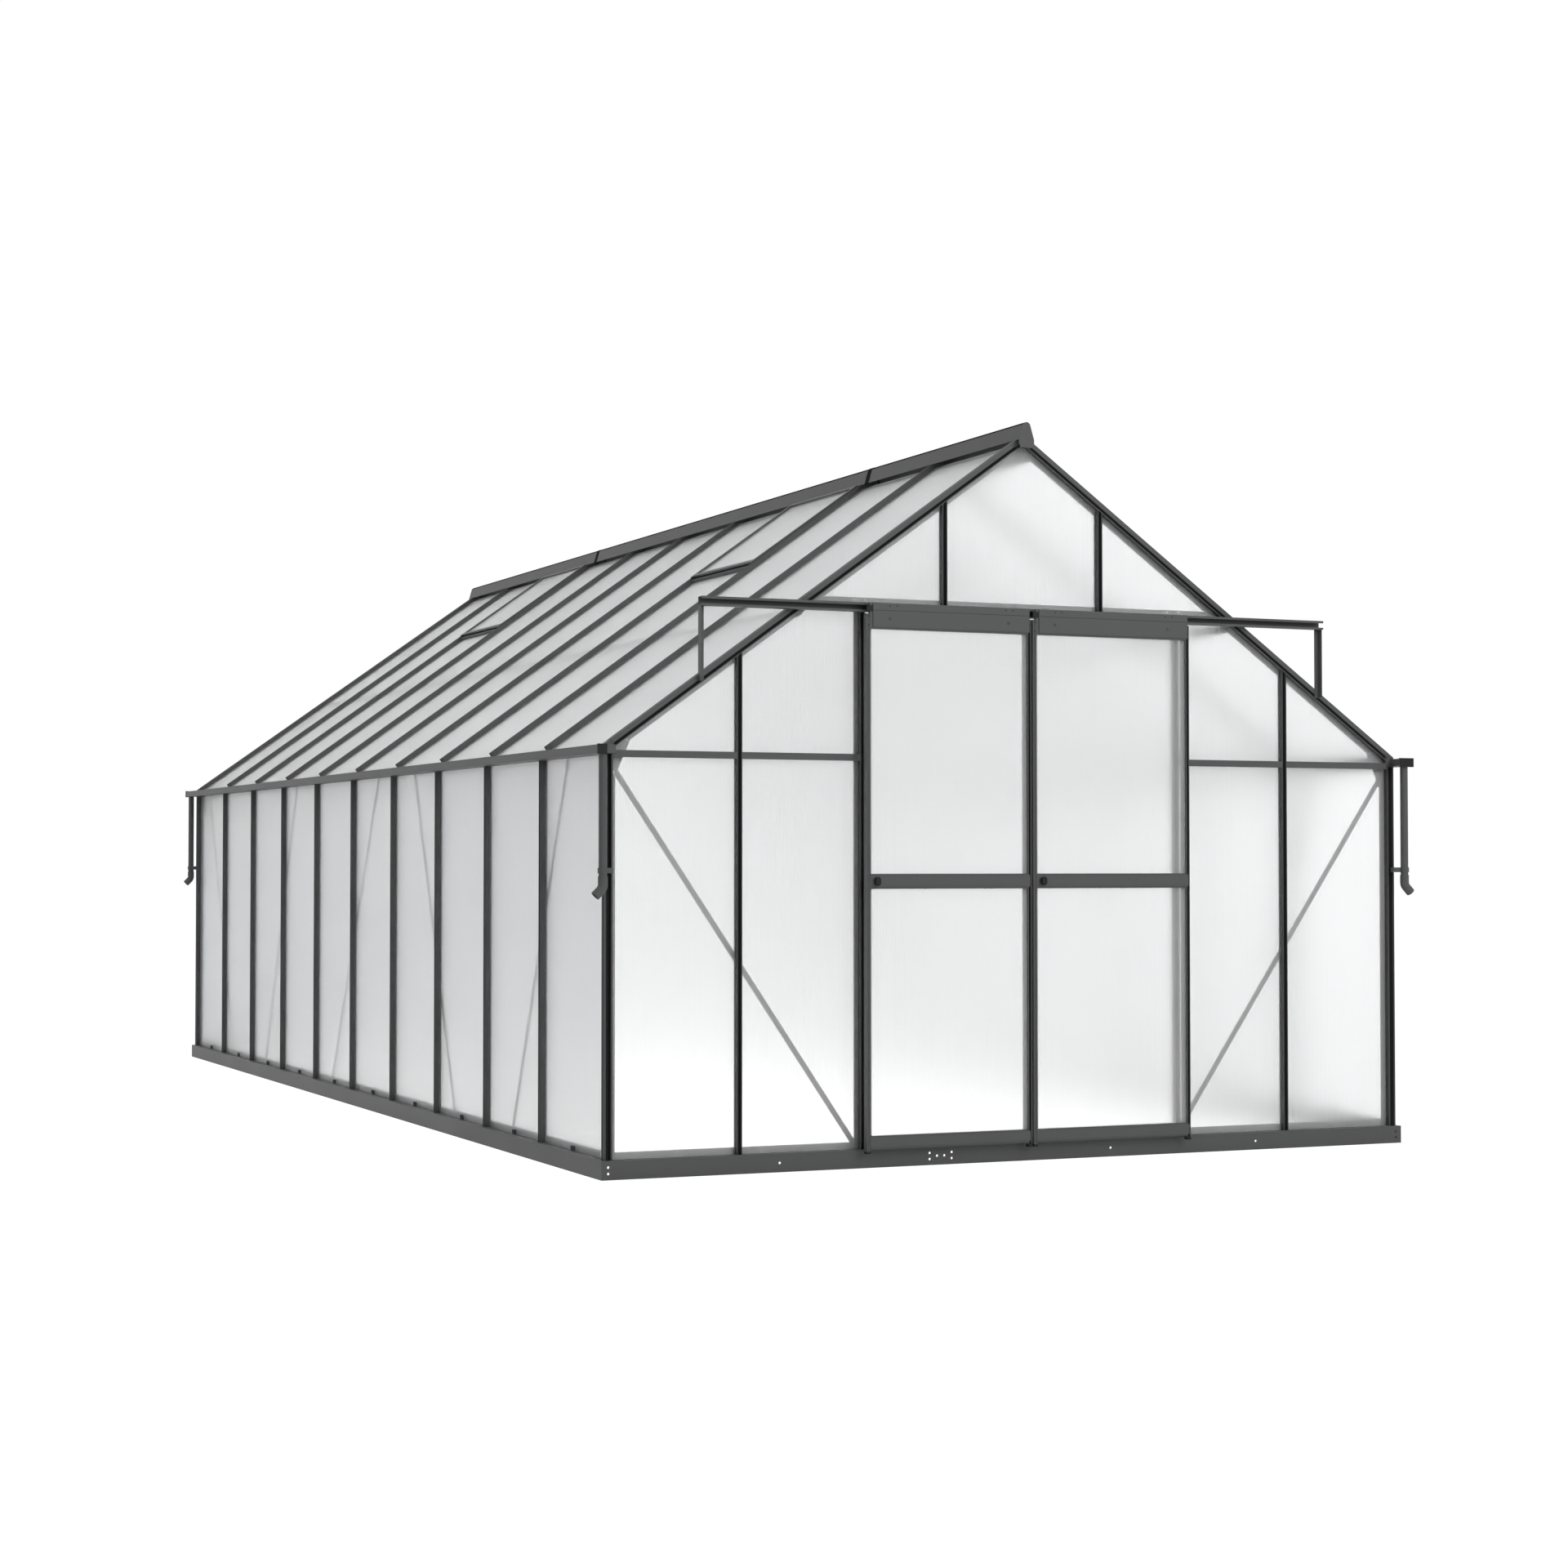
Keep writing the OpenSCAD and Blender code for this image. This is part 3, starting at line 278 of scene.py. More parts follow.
# %% Powder coat
COAT_TONE = (0.076, 0.077, 0.078)
COAT_ROUGH = 0.46
# Painted shade: the uprights get a darker copy of the coat for the shade in their slots and on their sides.
UPRIGHT_TONE = (0.050, 0.0505, 0.051)
UPRIGHT_ROUGH = 0.50
COAT_DARK, COAT_PALE = 0.90, 1.12
COAT_GLOSS = 0.2
CLOUD_SCALE, CLOUD_SHARE, CLOUD_ROUGH = 2.5, 0.6, 0.1
SPECK_SCALE, SPECK_SHARE, SPECK_ROUGH = 900.0, 0.4, 0.12
PEEL_SCALE, PEEL_STRENGTH, PEEL_DEPTH = 320.0, 0.12, 0.0006


def coat_finish(name, tone, roughness):
    """A clouded and speckled tone under an orange-peel skin."""
    material, bench = new_finish(name)
    cloud = grains(bench, CLOUD_SCALE)
    speck = grains(bench, SPECK_SCALE, detail=1.0)
    peel = grains(bench, PEEL_SCALE)
    mottle = cloud * CLOUD_SHARE + speck * SPECK_SHARE
    rough = roughness + SPECK_ROUGH * (speck - NOISE_MIDDLE) + CLOUD_ROUGH * (cloud - NOISE_MIDDLE)
    plain_body(bench, {
        "Base Color": blend_colour(bench, mottle, shade(tone, COAT_DARK), shade(tone, COAT_PALE)),
        "Roughness": rough,
        "Normal": relief(bench, peel, PEEL_STRENGTH, PEEL_DEPTH),
        "Specular IOR Level": COAT_GLOSS})
    return material


charcoal = coat_finish("charcoal_coat", COAT_TONE, COAT_ROUGH)
upright_coat = coat_finish("upright_coat", UPRIGHT_TONE, UPRIGHT_ROUGH)
print("made", charcoal.name, "and", upright_coat.name)

# %% [markdown]
# ## Twin-wall sheet
# Each panel is two thin walls of polycarbonate joined by ribs about 11 mm apart, so it passes light, blurs
# what is far behind it, and shows fine lines along its flutes. The sheet is a rough clear body with a milky
# share. The ribs are a pattern across the flutes: along X in the gables and doors, along Y in the walls and
# the roof. A slow haze fades them here and there. The whites are painted light and shade: all panels are the
# same sheet, but the front and the doors get the palest white, the walls a slightly greyer one, and the back
# and the roof the greyest, for the less light on those sides.

# %% Sheet
# Painted light and shade: one sheet in four whites, palest on the front and doors, greyest on the back and
# roof.
GABLE_WHITE = (0.990, 0.991, 0.992)
BACK_WHITE = (0.710, 0.713, 0.716)
WALL_WHITE = (0.775, 0.778, 0.781)
ROOF_WHITE = (0.710, 0.713, 0.716)
GABLE_RIB, BACK_RIB, WALL_RIB, ROOF_RIB = 0.91, 0.90, 0.98, 0.97
SHEET_ROUGH = 0.55
SHEET_CLEAR = 0.92
SHEET_IOR = 1.15
SHEET_GLOSS = 0.25
SHADOW_TINT = (0.92, 0.925, 0.93, 1.0)
RIB_PITCH = 0.0107
RIB_MIDDLE = 0.5
RIB_FROM, RIB_TO = 0.36, 0.47
RIB_ROUGH, RIB_STRENGTH, RIB_DEPTH = 0.10, 0.25, 0.0008
HAZE_SCALE, HAZE_ROUGH = 1.7, 0.06
HAZE_FROM, HAZE_TO = 0.35, 0.65


def rib_lines(bench, across):
    """1 on the ribs and 0 between them, along one axis of the object."""
    place = bench.node("ShaderNodeTexCoord", {}, {}, "Object")
    run = bench.node("ShaderNodeSeparateXYZ", {}, {"Vector": place}, across)
    step = bench.node("ShaderNodeMath", {"operation": "FRACT"}, {0: run / RIB_PITCH})
    off = bench.node("ShaderNodeMath", {"operation": "ABSOLUTE"}, {0: step - RIB_MIDDLE})
    return bench.node("ShaderNodeMapRange", {"interpolation_type": "SMOOTHSTEP"},
                      {"Value": off, "From Min": RIB_FROM, "From Max": RIB_TO})


def sheet_finish(name, across, white, rib_shade):
    """A clear, rough body with ribs; light that casts shadows passes straight through."""
    material, bench = new_finish(name)
    rib = rib_lines(bench, across)
    haze = grains(bench, HAZE_SCALE)
    fade = bench.node("ShaderNodeMapRange", {}, {"Value": haze, "From Min": HAZE_FROM, "From Max": HAZE_TO})
    sheet = bench.node("ShaderNodeBsdfPrincipled", {}, {
        "Base Color": blend_colour(bench, rib * fade, white, shade(white, rib_shade)),
        "Roughness": SHEET_ROUGH + RIB_ROUGH * rib + HAZE_ROUGH * (haze - NOISE_MIDDLE),
        "Normal": relief(bench, rib, RIB_STRENGTH, RIB_DEPTH),
        "IOR": SHEET_IOR, "Specular IOR Level": SHEET_GLOSS, "Transmission Weight": SHEET_CLEAR})
    hole = bench.node("ShaderNodeBsdfTransparent", {}, {"Color": SHADOW_TINT})
    mixed = bench.node("ShaderNodeMixShader", {}, {0: ray_is(bench, "Shadow"), 1: sheet, 2: hole})
    bench.node("ShaderNodeOutputMaterial", {}, {"Surface": mixed})
    return material


gable_sheet = sheet_finish("gable_sheet", "X", GABLE_WHITE, GABLE_RIB)
back_sheet = sheet_finish("back_sheet", "X", BACK_WHITE, BACK_RIB)
wall_sheet = sheet_finish("wall_sheet", "Y", WALL_WHITE, WALL_RIB)
roof_sheet = sheet_finish("roof_sheet", "Y", ROOF_WHITE, ROOF_RIB)
print("made", ", ".join(f.name for f in (gable_sheet, back_sheet, wall_sheet, roof_sheet)))

# %% [markdown]
# ## Black plastic
# Knobs, rollers and the joiners of the ridge cap are moulded in black plastic, the panel clips in a dark grey
# one. Its skin is dull, with a fine spark-eroded grain that breaks up the highlights.

# %% Plastic
# Painted shade, in part: this black also colours the block that stands in for the dark gap above each left
# stile.
PLASTIC_TONE = (0.011, 0.011, 0.0115)
CLIP_TONE = (0.042, 0.042, 0.043)
PLASTIC_ROUGH = 0.5
PLASTIC_GLOSS = 0.15
MOULD_DARK, MOULD_PALE = 0.8, 1.5
MOULD_GRAIN, MOULD_STRENGTH, MOULD_DEPTH = 1400.0, 0.2, 0.0002
MOULD_CLOUD, MOULD_ROUGH = 6.0, 0.15
HALF_SHARE = 0.5


def plastic_finish(name, tone, roughness, gloss):
    """A dull moulded skin with a fine grain."""
    material, bench = new_finish(name)
    grain = grains(bench, MOULD_GRAIN, detail=1.0)
    cloud = grains(bench, MOULD_CLOUD)
    mottle = grain * HALF_SHARE + cloud * HALF_SHARE
    plain_body(bench, {
        "Base Color": blend_colour(bench, mottle, shade(tone, MOULD_DARK), shade(tone, MOULD_PALE)),
        "Roughness": roughness + MOULD_ROUGH * (cloud - NOISE_MIDDLE),
        "Normal": relief(bench, grain, MOULD_STRENGTH, MOULD_DEPTH),
        "Specular IOR Level": gloss})
    return material


plastic = plastic_finish("black_plastic_and_shade", PLASTIC_TONE, PLASTIC_ROUGH, PLASTIC_GLOSS)
clip_plastic = plastic_finish("grey_plastic", CLIP_TONE, PLASTIC_ROUGH, PLASTIC_GLOSS)
print("made", plastic.name, "and", clip_plastic.name)

# %% [markdown]
# ## Finishes on the solids
# The imported record says which slot each solid takes its finish from, so the table is short: panels get the
# sheet with its ribs across the right axis and a white of painted light and shade for their side, fittings
# get plastic, uprights the darker coat of painted shade, and all the rest the charcoal coat.

# %% Assign
SLOT_FINISH = {"frame": charcoal, "fittings": plastic, "panel": wall_sheet}
OWN_FINISH = {
    "front_gable_panels": gable_sheet, "left_door_panels": gable_sheet, "right_door_panels": gable_sheet,
    "back_gable_panels": back_sheet, "left_roof_panels": roof_sheet, "right_roof_panels": roof_sheet,
    "vent_panels": roof_sheet, "panel_clips": clip_plastic, "corner_posts": upright_coat,
    "left_wall_studs": upright_coat, "right_wall_studs": upright_coat, "front_gable_studs": upright_coat,
    "door_posts": upright_coat, "back_gable_studs": upright_coat,
}
slot_of = {p["node"]: p["material_slot"] for p in frame["record"]["subparts"]}
for name, solid in nodes.items():
    for place in solid.material_slots:
        place.material = OWN_FINISH.get(name, SLOT_FINISH[slot_of[name]])
print("finishes assigned to", len(nodes), "nodes")

# %% [markdown]
# ## Two more finishes
# Black rubber seals close the slits under the vents, and rubber covers sit over the ridge joints. The same
# black is painted shade in the slots of the bars and along the crest of the ridge cap. Rubber is the plastic
# recipe with hardly any gloss. The screws are blackened steel, and their black is also painted shade for the
# recessed holes that they sit in. The black skin on the steel hides the metal, so it is no metal to the
# shader: a dark body whose roughness follows a fine noise, as the pickled skin of such screws does.

# %% Rubber and steel
# Painted shade, in part: this black also lines the slots and the crest, where there is only shade.
RUBBER_TONE = (0.014, 0.014, 0.0145)
RUBBER_ROUGH = 0.8
RUBBER_GLOSS = 0.02
# Painted shade, in part: the screws' black stands for the shade of the recessed holes they sit in.
STEEL_TONE = (0.018, 0.018, 0.019)
STEEL_DARK = 0.7
STEEL_GLOSS = 0.3
STEEL_ROUGH, STEEL_ROUGH_RANGE = 0.36, 0.2
STEEL_SKIN, STEEL_STAIN = 700.0, 60.0


def steel_finish(name):
    """A dark, slightly stained skin."""
    material, bench = new_finish(name)
    skin = grains(bench, STEEL_SKIN, detail=1.0)
    mottle = skin * HALF_SHARE + grains(bench, STEEL_STAIN) * HALF_SHARE
    plain_body(bench, {
        "Base Color": blend_colour(bench, mottle, shade(STEEL_TONE, STEEL_DARK), STEEL_TONE),
        "Roughness": STEEL_ROUGH + STEEL_ROUGH_RANGE * (skin - NOISE_MIDDLE),
        "Specular IOR Level": STEEL_GLOSS})
    return material


rubber = plastic_finish("black_rubber_and_shade", RUBBER_TONE, RUBBER_ROUGH, RUBBER_GLOSS)
steel = steel_finish("black_steel_and_shade")
print("made", rubber.name, "and", steel.name)

# %% [markdown]
# ## Hardware, from bmesh to piece
# Bolts, caps and liners are too fine for the solids, so they are modelled here. Each bmesh starts from a few
# vertices or a block, operators give it its shape, and one helper hands it over: it merges doubles, turns the
# faces outwards, and lets the piece ride on the body that carries it.

# %% Hand over
MERGE = 1e-6


def hand_over(name, bm, body, finish):
    """Makes a bmesh a piece of the object."""
    bmesh.ops.remove_doubles(bm, verts=bm.verts, dist=MERGE)
    bmesh.ops.recalc_face_normals(bm, faces=bm.faces)
    mesh = bpy.data.meshes.new(name)
    bm.to_mesh(mesh)
    bm.free()
    mesh.materials.append(finish)
    piece = bpy.data.objects.new(name, mesh)
    bpy.context.scene.collection.objects.link(piece)
    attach(piece, body)
    print(name, "has", len(mesh.polygons), "faces")


print("points within", MERGE, "m are merged")

# %% [markdown]
# ## Painted shade in the slots
# The bars have an open bolt slot along their face. A black strip lies on its floor as painted shade, for the
# dark that the slot holds. It is an outline pushed along the bar: one face from a few vertices, and one
# extrusion. A curve with a bevel would do the same, but the outline keeps its flat underside.

# %% Strips
MM = 0.001
# Painted shade: the black strip in each slot stands in for the shade that the slot holds.
SLOT_LINER = ((-5.8, 0.1), (-5.8, 2.6), (-3.6, 4.2), (0.0, 4.8), (3.6, 4.2), (5.8, 2.6), (5.8, 0.1))
OUT = {"left": Vector((-1, 0, 0)), "right": Vector((1, 0, 0)), "front": Vector((0, -1, 0)),
       "back": Vector((0, 1, 0))}
UP = Vector((0, 0, 1))


def push_strip(bm, outline, start, across, out, run):
    """Pushes an outline of (across, out) points in mm from start along a run."""
    ring = [bm.verts.new(start + across * (a * MM) + out * (n * MM)) for a, n in outline]
    end = bmesh.ops.extrude_face_region(bm, geom=[bm.faces.new(ring)])["geom"]
    bmesh.ops.translate(bm, vec=run, verts=[v for v in end if isinstance(v, bmesh.types.BMVert)])


def outermost(box, way):
    """The coordinate at which a box ends on its left, right, front or back."""
    axis = 0 if way in ("left", "right") else 1
    return box[0][axis] if way in ("left", "front") else box[1][axis]


print("slot liner outline has", len(SLOT_LINER), "points")

# %% Side studs
SLOT_DEPTH = 13.0 * MM
STUD_HALF = 9.0 * MM
STUD_COUNT = 9
END_GAP = MM
for side in ("left", "right"):
    low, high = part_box(side + "_wall_studs")
    face = outermost((low, high), side)
    step = (high.y - low.y - 2 * STUD_HALF) / (STUD_COUNT - 1)
    bm = bmesh.new()
    for count in range(STUD_COUNT):
        foot = Vector((face, low.y + STUD_HALF + count * step, low.z + END_GAP))
        push_strip(bm, SLOT_LINER, foot - OUT[side] * SLOT_DEPTH, OUT["front"], OUT[side],
                   UP * (high.z - low.z - 2 * END_GAP))
    hand_over(side + "_stud_shade_strips", bm, "building", rubber)

# %% Gable studs and door posts
PITCH = math.radians(35.5)
RAFTER_DROP = 0.0345
BAR_HALF = 0.008
FRONT_STUD_X = 1.032
UPPER_STUD_X = 0.295
DOOR_POST_X = 0.597
BACK_STUD_X = (0.297, 0.890)
LINTEL_LAP = 0.020
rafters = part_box("gable_rafters")
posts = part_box("corner_posts")
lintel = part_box("door_lintel")


def under_rafter(x):
    """Height at which the outer edge of an upright bar meets the rafters."""
    return rafters[1].z - RAFTER_DROP - (x + BAR_HALF) * math.tan(PITCH)


GABLE_BARS = {
    "front": [(FRONT_STUD_X, posts[0].z, under_rafter(FRONT_STUD_X)),
              (UPPER_STUD_X, lintel[0].z + LINTEL_LAP, under_rafter(UPPER_STUD_X)),
              (DOOR_POST_X, posts[0].z, lintel[0].z)],
    "back": [(x, posts[0].z, under_rafter(x)) for x in BACK_STUD_X],
}
for end, bars in GABLE_BARS.items():
    face = outermost(rafters, end)
    bm = bmesh.new()
    for x, z0, z1 in bars:
        for place in (-x, x):
            start = Vector((place, face, z0 + END_GAP)) - OUT[end] * SLOT_DEPTH
            push_strip(bm, SLOT_LINER, start, OUT["right"], OUT[end], UP * (z1 - z0 - 2 * END_GAP))
    hand_over(end + "_gable_shade_strips", bm, "building", rubber)

# %% [markdown]
# ## Painted shade in the corner posts and rafters
# The corner bars have a groove that slopes down towards the panel, so their black strip of painted shade is a
# thin layer on that slope, for the dark in the groove. It is pushed up the post, and along the slope on the
# rafters, with the same helper.

# %% Corner liners
# Painted shade: thin black layers on the sloped grooves, for the dark that the grooves hold.
POST_LINER = ((6.0, -0.4), (18.4, -12.2), (21.7, -12.6), (21.7, -10.4), (19.2, -10.0), (7.4, 0.0))
RAFTER_LINER = ((15.6, -0.2), (22.8, -7.4), (24.8, -7.6), (24.8, -5.6), (23.4, -5.4), (17.2, 0.0))
RAFTER_TOP_GAP = 0.050
RAFTER_FOOT_GAP = 0.006


def slope_axes(side):
    """The directions down a roof slope and out of it."""
    down = OUT[side] * math.cos(PITCH) - UP * math.sin(PITCH)
    return down, OUT[side] * math.sin(PITCH) + UP * math.cos(PITCH)


rafter_run = rafters[1].x / math.cos(PITCH) - RAFTER_TOP_GAP - RAFTER_FOOT_GAP
for end in ("front", "back"):
    bm = bmesh.new()
    face = outermost(rafters, end)
    for side in ("left", "right"):
        foot = Vector((outermost(posts, side), face, posts[0].z + END_GAP))
        push_strip(bm, POST_LINER, foot, -OUT[side], OUT[end], UP * (posts[1].z - posts[0].z - 2 * END_GAP))
        down, outward = slope_axes(side)
        top = Vector((0.0, face, rafters[1].z)) + down * RAFTER_TOP_GAP
        push_strip(bm, RAFTER_LINER, top, -outward, OUT[end], down * rafter_run)
    hand_over(end + "_corner_shade_strips", bm, "building", rubber)

# %% [markdown]
# ## Seals, covers and painted shade on the roof
# A rubber seal closes the slit under the lower rail of each vent. It is the same pushed strip, across the
# slope. The ridge cap has a round crest with a black strip along it, painted shade for the darker look of its
# arc, and a rubber cover over each joint.
# Both follow the outline of the cap, so one function gives that outline at any distance from it: flank, arc
# and flank. A copy of the cap, scaled up a little, would not keep an even distance.

# %% Vent seals
SEAL = ((563.2, -5.9), (563.2, -0.1), (566.0, -0.4), (567.6, -2.2), (567.6, -5.9))
SEAL_INSET = 0.0085
SEAL_RUN = 0.591
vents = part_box("vent_frames")
for side in ("left", "right"):
    down, outward = slope_axes(side)
    bm = bmesh.new()
    for y in (vents[0].y + SEAL_INSET, vents[1].y - SEAL_INSET - SEAL_RUN):
        push_strip(bm, SEAL, Vector((0.0, y, rafters[1].z)), down, outward, OUT["back"] * SEAL_RUN)
    hand_over(side + "_vent_seals", bm, "building", rubber)

# %% Outline of the ridge cap, in mm from the apex of the rafters
CAP_R = 14.0
CAP_HALF = 28.0
CAP_RISE = 39.0
CAP_FOOT = 0.2 - CAP_HALF * math.tan(PITCH)
ARC_STEPS = 12


def crest_arc(grow, turn):
    """Points of the crest's arc, from right to left, a given distance outside the cap."""
    r = CAP_R + grow
    turns = [turn * (1 - 2 * k / ARC_STEPS) for k in range(ARC_STEPS + 1)]
    return [(r * math.sin(t), CAP_RISE - CAP_R + r * math.cos(t)) for t in turns]


def cap_path(grow):
    """The whole outline over the cap: right flank, arc and left flank."""
    side = CAP_HALF + grow
    rise = CAP_RISE - CAP_R - CAP_FOOT
    lean = math.atan2(rise, side) - math.acos((CAP_R + grow) / math.hypot(side, rise))
    return [(side, CAP_FOOT)] + crest_arc(grow, math.pi / 2 + lean) + [(-side, CAP_FOOT)]


print("ridge cap outline has", len(cap_path(0.0)), "points")

# %% Ridge crest and joint covers
# Painted shade: a black strip over the crest's arc, where the crest looks darker than its flanks.
CREST_TURN = math.radians(62.0)
CREST_UNDER, CREST_OVER = 0.05, 0.5
COVER_UNDER, COVER_OVER = 0.1, 1.4
COVER_RUN = 0.030
JOINER_HALF = 7.0 * MM
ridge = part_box("ridge_caps")
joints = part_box("ridge_joiners")
bm = bmesh.new()
crest = crest_arc(CREST_OVER, CREST_TURN) + crest_arc(CREST_UNDER, CREST_TURN)[::-1]
push_strip(bm, crest, Vector((0.0, ridge[0].y + END_GAP, rafters[1].z)), OUT["right"], UP,
           OUT["back"] * (ridge[1].y - ridge[0].y - 2 * END_GAP))
hand_over("ridge_crest_shade", bm, "building", rubber)
bm = bmesh.new()
cover = cap_path(COVER_OVER) + cap_path(COVER_UNDER)[::-1]
for y in (joints[0].y + JOINER_HALF, joints[1].y - JOINER_HALF):
    start = Vector((0.0, y - COVER_RUN / 2, rafters[1].z))
    push_strip(bm, cover, start, OUT["right"], UP, OUT["back"] * COVER_RUN)
hand_over("ridge_joint_covers", bm, "building", rubber)

# %% [markdown]
# ## Bolts and screws
# A screw head is round, so it is turned from half of its outline with a spin, as on a lathe. The outline
# starts in the recess for the key, goes over the dome and the washer, and ends under the head, so the body is
# closed. One head is turned once, and copies of it are set on the bars.

# %% Turned heads
BOLT_OUTLINE = ((0, 1.4), (1.8, 1.4), (2.0, 2.9), (3.3, 2.6), (4.3, 1.5), (4.5, 0.8), (6.0, 0.7), (6.2, -0.2),
                (0, -0.2))
SCREW_OUTLINE = ((0, 0.4), (1.0, 0.4), (1.2, 1.1), (2.0, 0.8), (2.5, -0.2), (0, -0.2))
HEAD_STEPS = 14


def turn_head(outline):
    """A mesh turned from (radius, height) points in mm."""
    bm = bmesh.new()
    ring = [bm.verts.new((r * MM, 0.0, h * MM)) for r, h in outline]
    edges = [bm.edges.new(pair) for pair in zip(ring, ring[1:])]
    bmesh.ops.spin(bm, geom=ring + edges, cent=(0, 0, 0), axis=(0, 0, 1), angle=math.tau, steps=HEAD_STEPS,
                   use_merge=True)
    bmesh.ops.remove_doubles(bm, verts=bm.verts, dist=MERGE)
    head = bpy.data.meshes.new("head")
    bm.to_mesh(head)
    bm.free()
    return head


def set_head(bm, head, place, out):
    """Adds a copy of a head at a place, looking along out."""
    first = len(bm.verts)
    bm.from_mesh(head)
    bm.verts.ensure_lookup_table()
    turn = UP.rotation_difference(out).to_matrix().to_4x4()
    bmesh.ops.transform(bm, matrix=Matrix.Translation(place) @ turn, verts=bm.verts[first:])


bolt_head = turn_head(BOLT_OUTLINE)
screw_head = turn_head(SCREW_OUTLINE)
print("bolt head", len(bolt_head.polygons), "faces, screw head", len(screw_head.polygons))

# %% Door screws
ROLLER_INSET = 0.085
ROLLER_BOLT_Z = 1.788
PLATE_SCREWS = (0.085, 0.111, -0.095, -0.068)
PLATE_SCREW_Z = 1.830
STILE_SCREW_INSET = 0.0082
STILE_SCREW_Z = (1.795, 1.765)
for side in ("left", "right"):
    low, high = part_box(side + "_door_stiles")
    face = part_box(side + "_door_rails")[0].y
    bm = bmesh.new()
    for x in (low.x + ROLLER_INSET, high.x - ROLLER_INSET):
        set_head(bm, bolt_head, Vector((x, face, ROLLER_BOLT_Z)), OUT["front"])
    hand_over(side + "_roller_bolts", bm, side + "_door", charcoal)
    bm = bmesh.new()
    # Painted shade, in part: black screw heads where the plates show dark recessed holes.
    for inset in PLATE_SCREWS:
        x = (low.x if inset > 0 else high.x) + inset
        set_head(bm, screw_head, Vector((x, face, PLATE_SCREW_Z)), OUT["front"])
    for z in STILE_SCREW_Z:
        set_head(bm, screw_head, Vector((low.x + STILE_SCREW_INSET, face, z)), OUT["front"])
    hand_over(side + "_leaf_screws", bm, side + "_door", steel)

# %% Bracket bolts
BRACKET_INSET = 0.0105
BRACKET_PROUD = 0.003
BRACKET_UP = 0.011
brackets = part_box("track_brackets")
bm = bmesh.new()
for side in (-1, 1):
    foot = Vector((side * (brackets[1].x - BRACKET_INSET), rafters[0].y - BRACKET_PROUD,
                   brackets[0].z + BRACKET_UP))
    set_head(bm, bolt_head, foot, OUT["front"])
hand_over("bracket_bolts", bm, "building", charcoal)
bpy.data.meshes.remove(bolt_head)
bpy.data.meshes.remove(screw_head)

# %% [markdown]
# ## Caps and painted shade
# Black moulded caps close the feet of the stiles, and black blocks close the ends of the gutters, wider at
# the right gutter than at the left. A black block at the top of the left stile of each leaf is painted shade,
# for the dark gap above that stile. Each is a block whose front is inset and pushed in a little, and whose
# edges are bevelled, as a moulding needs. The right stile of each leaf has an open slot, so a narrow black
# strip of painted shade goes in there as well, for the dark in the slot.

# %% Moulded block
PANEL_DEPTH = 0.4 * MM
MOULD_EDGE = 0.7 * MM


def soften(bm, edges, width):
    """Rounds edges with a two-step bevel."""
    bmesh.ops.bevel(bm, geom=edges, offset=width, offset_type="OFFSET", affect="EDGES", segments=2,
                    profile=0.5, material=-1, clamp_overlap=True)


def cap_block(bm, low, high, out, rim):
    """A block between two corners, with a shallow panel in the face that looks along out."""
    verts = bmesh.ops.create_cube(bm, size=1.0)["verts"]
    bmesh.ops.scale(bm, vec=high - low, verts=verts)
    bmesh.ops.translate(bm, vec=(low + high) / 2, verts=verts)
    faces = list(dict.fromkeys(f for v in verts for f in v.link_faces))
    edges = list(dict.fromkeys(e for f in faces for e in f.edges))
    front = max(faces, key=lambda f: f.calc_center_median().dot(out))
    bmesh.ops.inset_individual(bm, faces=[front], thickness=rim, depth=-PANEL_DEPTH)
    soften(bm, edges, MOULD_EDGE)


print("moulded edges of", MOULD_EDGE, "m")

# %% Door caps
CAP_PROUD = 0.5 * MM
STILE_WIDTH = 0.013
# Painted shade: the black block at the top of the left stile stands in for the dark gap above it.
TOP_CAP_Z = (1.811, 1.8295)
TOP_CAP_WIDTH = 0.0235
TOP_CAP_DEPTH = 2.9 * MM
TOP_CAP_RIM = 2.5 * MM
FOOT_CAP_DROP = 0.007
FOOT_CAP_DEPTH = 0.0235
FOOT_CAP_RIM = 1.5 * MM
for side in ("left", "right"):
    low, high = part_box(side + "_door_stiles")
    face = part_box(side + "_door_rails")[0].y
    bm = bmesh.new()
    cap_block(bm, Vector((low.x, face - CAP_PROUD, TOP_CAP_Z[0])),
              Vector((low.x + TOP_CAP_WIDTH, face + TOP_CAP_DEPTH, TOP_CAP_Z[1])), OUT["front"], TOP_CAP_RIM)
    for x in (low.x, high.x - STILE_WIDTH):
        cap_block(bm, Vector((x - CAP_PROUD, face - CAP_PROUD, low.z - FOOT_CAP_DROP)),
                  Vector((x + STILE_WIDTH + CAP_PROUD, face + FOOT_CAP_DEPTH, low.z + MM)),
                  OUT["front"], FOOT_CAP_RIM)
    hand_over(side + "_leaf_caps_and_shade_blocks", bm, side + "_door", plastic)
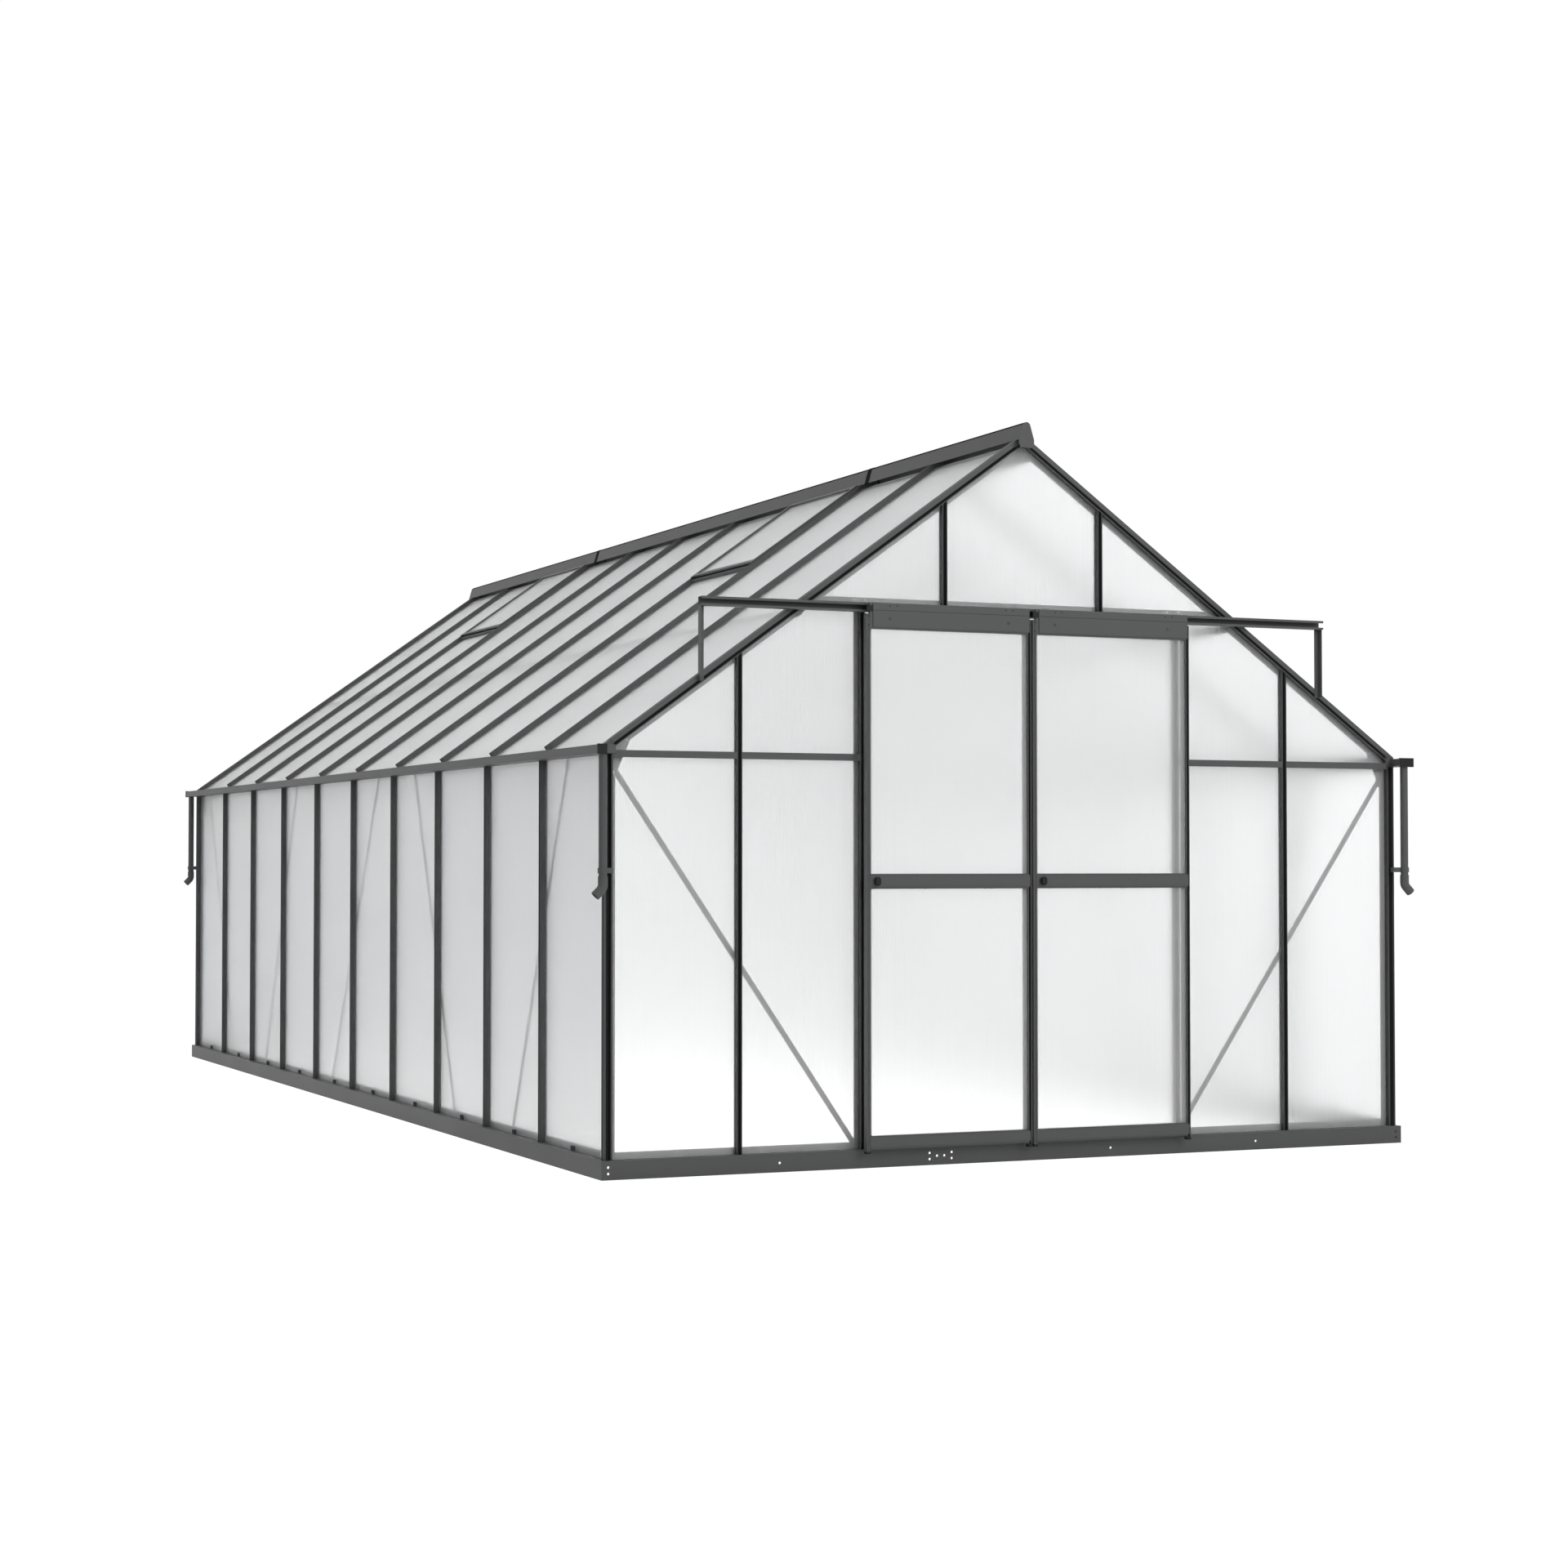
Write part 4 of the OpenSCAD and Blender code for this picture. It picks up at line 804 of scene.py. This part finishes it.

# %% Stile liners
# Painted shade: a black strip in the slot of the right stile, for the dark it holds.
STILE_LINER = ((-3.9, 0.1), (-3.9, 3.0), (-1.6, 4.4), (1.6, 4.4), (3.9, 3.0), (3.9, 0.1))
for side in ("left", "right"):
    low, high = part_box(side + "_door_stiles")
    bm = bmesh.new()
    start = Vector((high.x - STILE_WIDTH / 2, low.y + SLOT_DEPTH, low.z + 2 * END_GAP))
    push_strip(bm, STILE_LINER, start, OUT["right"], OUT["front"], UP * (high.z - low.z - 4 * END_GAP))
    hand_over(side + "_stile_shade_strip", bm, side + "_door", rubber)

# %% Gutter ends
GUTTER_CAP_WIDTH = {"left": 0.030, "right": 0.057}
GUTTER_CAP_OUT = 1.5 * MM
GUTTER_CAP_PAST, GUTTER_CAP_LAP = 2 * MM, 7 * MM
GUTTER_CAP_BELOW, GUTTER_CAP_ABOVE = 2 * MM, 0.0295
GUTTER_CAP_RIM = 3 * MM
for side in ("left", "right"):
    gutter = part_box(side + "_gutter")
    bm = bmesh.new()
    for end in ("front", "back"):
        tip = Vector((outermost(gutter, side), outermost(gutter, end), gutter[0].z))
        outer = tip + OUT[side] * GUTTER_CAP_OUT + OUT[end] * GUTTER_CAP_PAST - UP * GUTTER_CAP_BELOW
        inner = tip - OUT[side] * GUTTER_CAP_WIDTH[side] - OUT[end] * GUTTER_CAP_LAP + UP * GUTTER_CAP_ABOVE
        low = Vector([min(c) for c in zip(outer, inner)])
        high = Vector([max(c) for c in zip(outer, inner)])
        cap_block(bm, low, high, OUT[end], GUTTER_CAP_RIM)
    hand_over(side + "_gutter_caps", bm, "building", plastic)

# %% [markdown]
# ## Rafter shoes
# Grey shoes join the feet of the rafters to the corner posts. Their upper edge follows the roof and their
# inner edge is upright, so a block would not do: they are pushed strips once more, with softened edges.

# %% Rafter shoes
SHOE = ((0.0, 2.7), (0.0, 33.0), (17.6, 45.6), (33.4, 23.6), (33.4, 2.7))
SHOE_PROUD = 0.6 * MM
SHOE_DEPTH = 0.027
SHOE_EDGE = 0.8 * MM
for end in ("front", "back"):
    bm = bmesh.new()
    for side in ("left", "right"):
        corner = Vector((outermost(posts, side), outermost(rafters, end), posts[1].z))
        push_strip(bm, SHOE, corner + OUT[end] * SHOE_PROUD, -OUT[side], UP, -OUT[end] * SHOE_DEPTH)
    soften(bm, bm.edges[:], SHOE_EDGE)
    hand_over(end + "_rafter_shoes", bm, "building", charcoal)
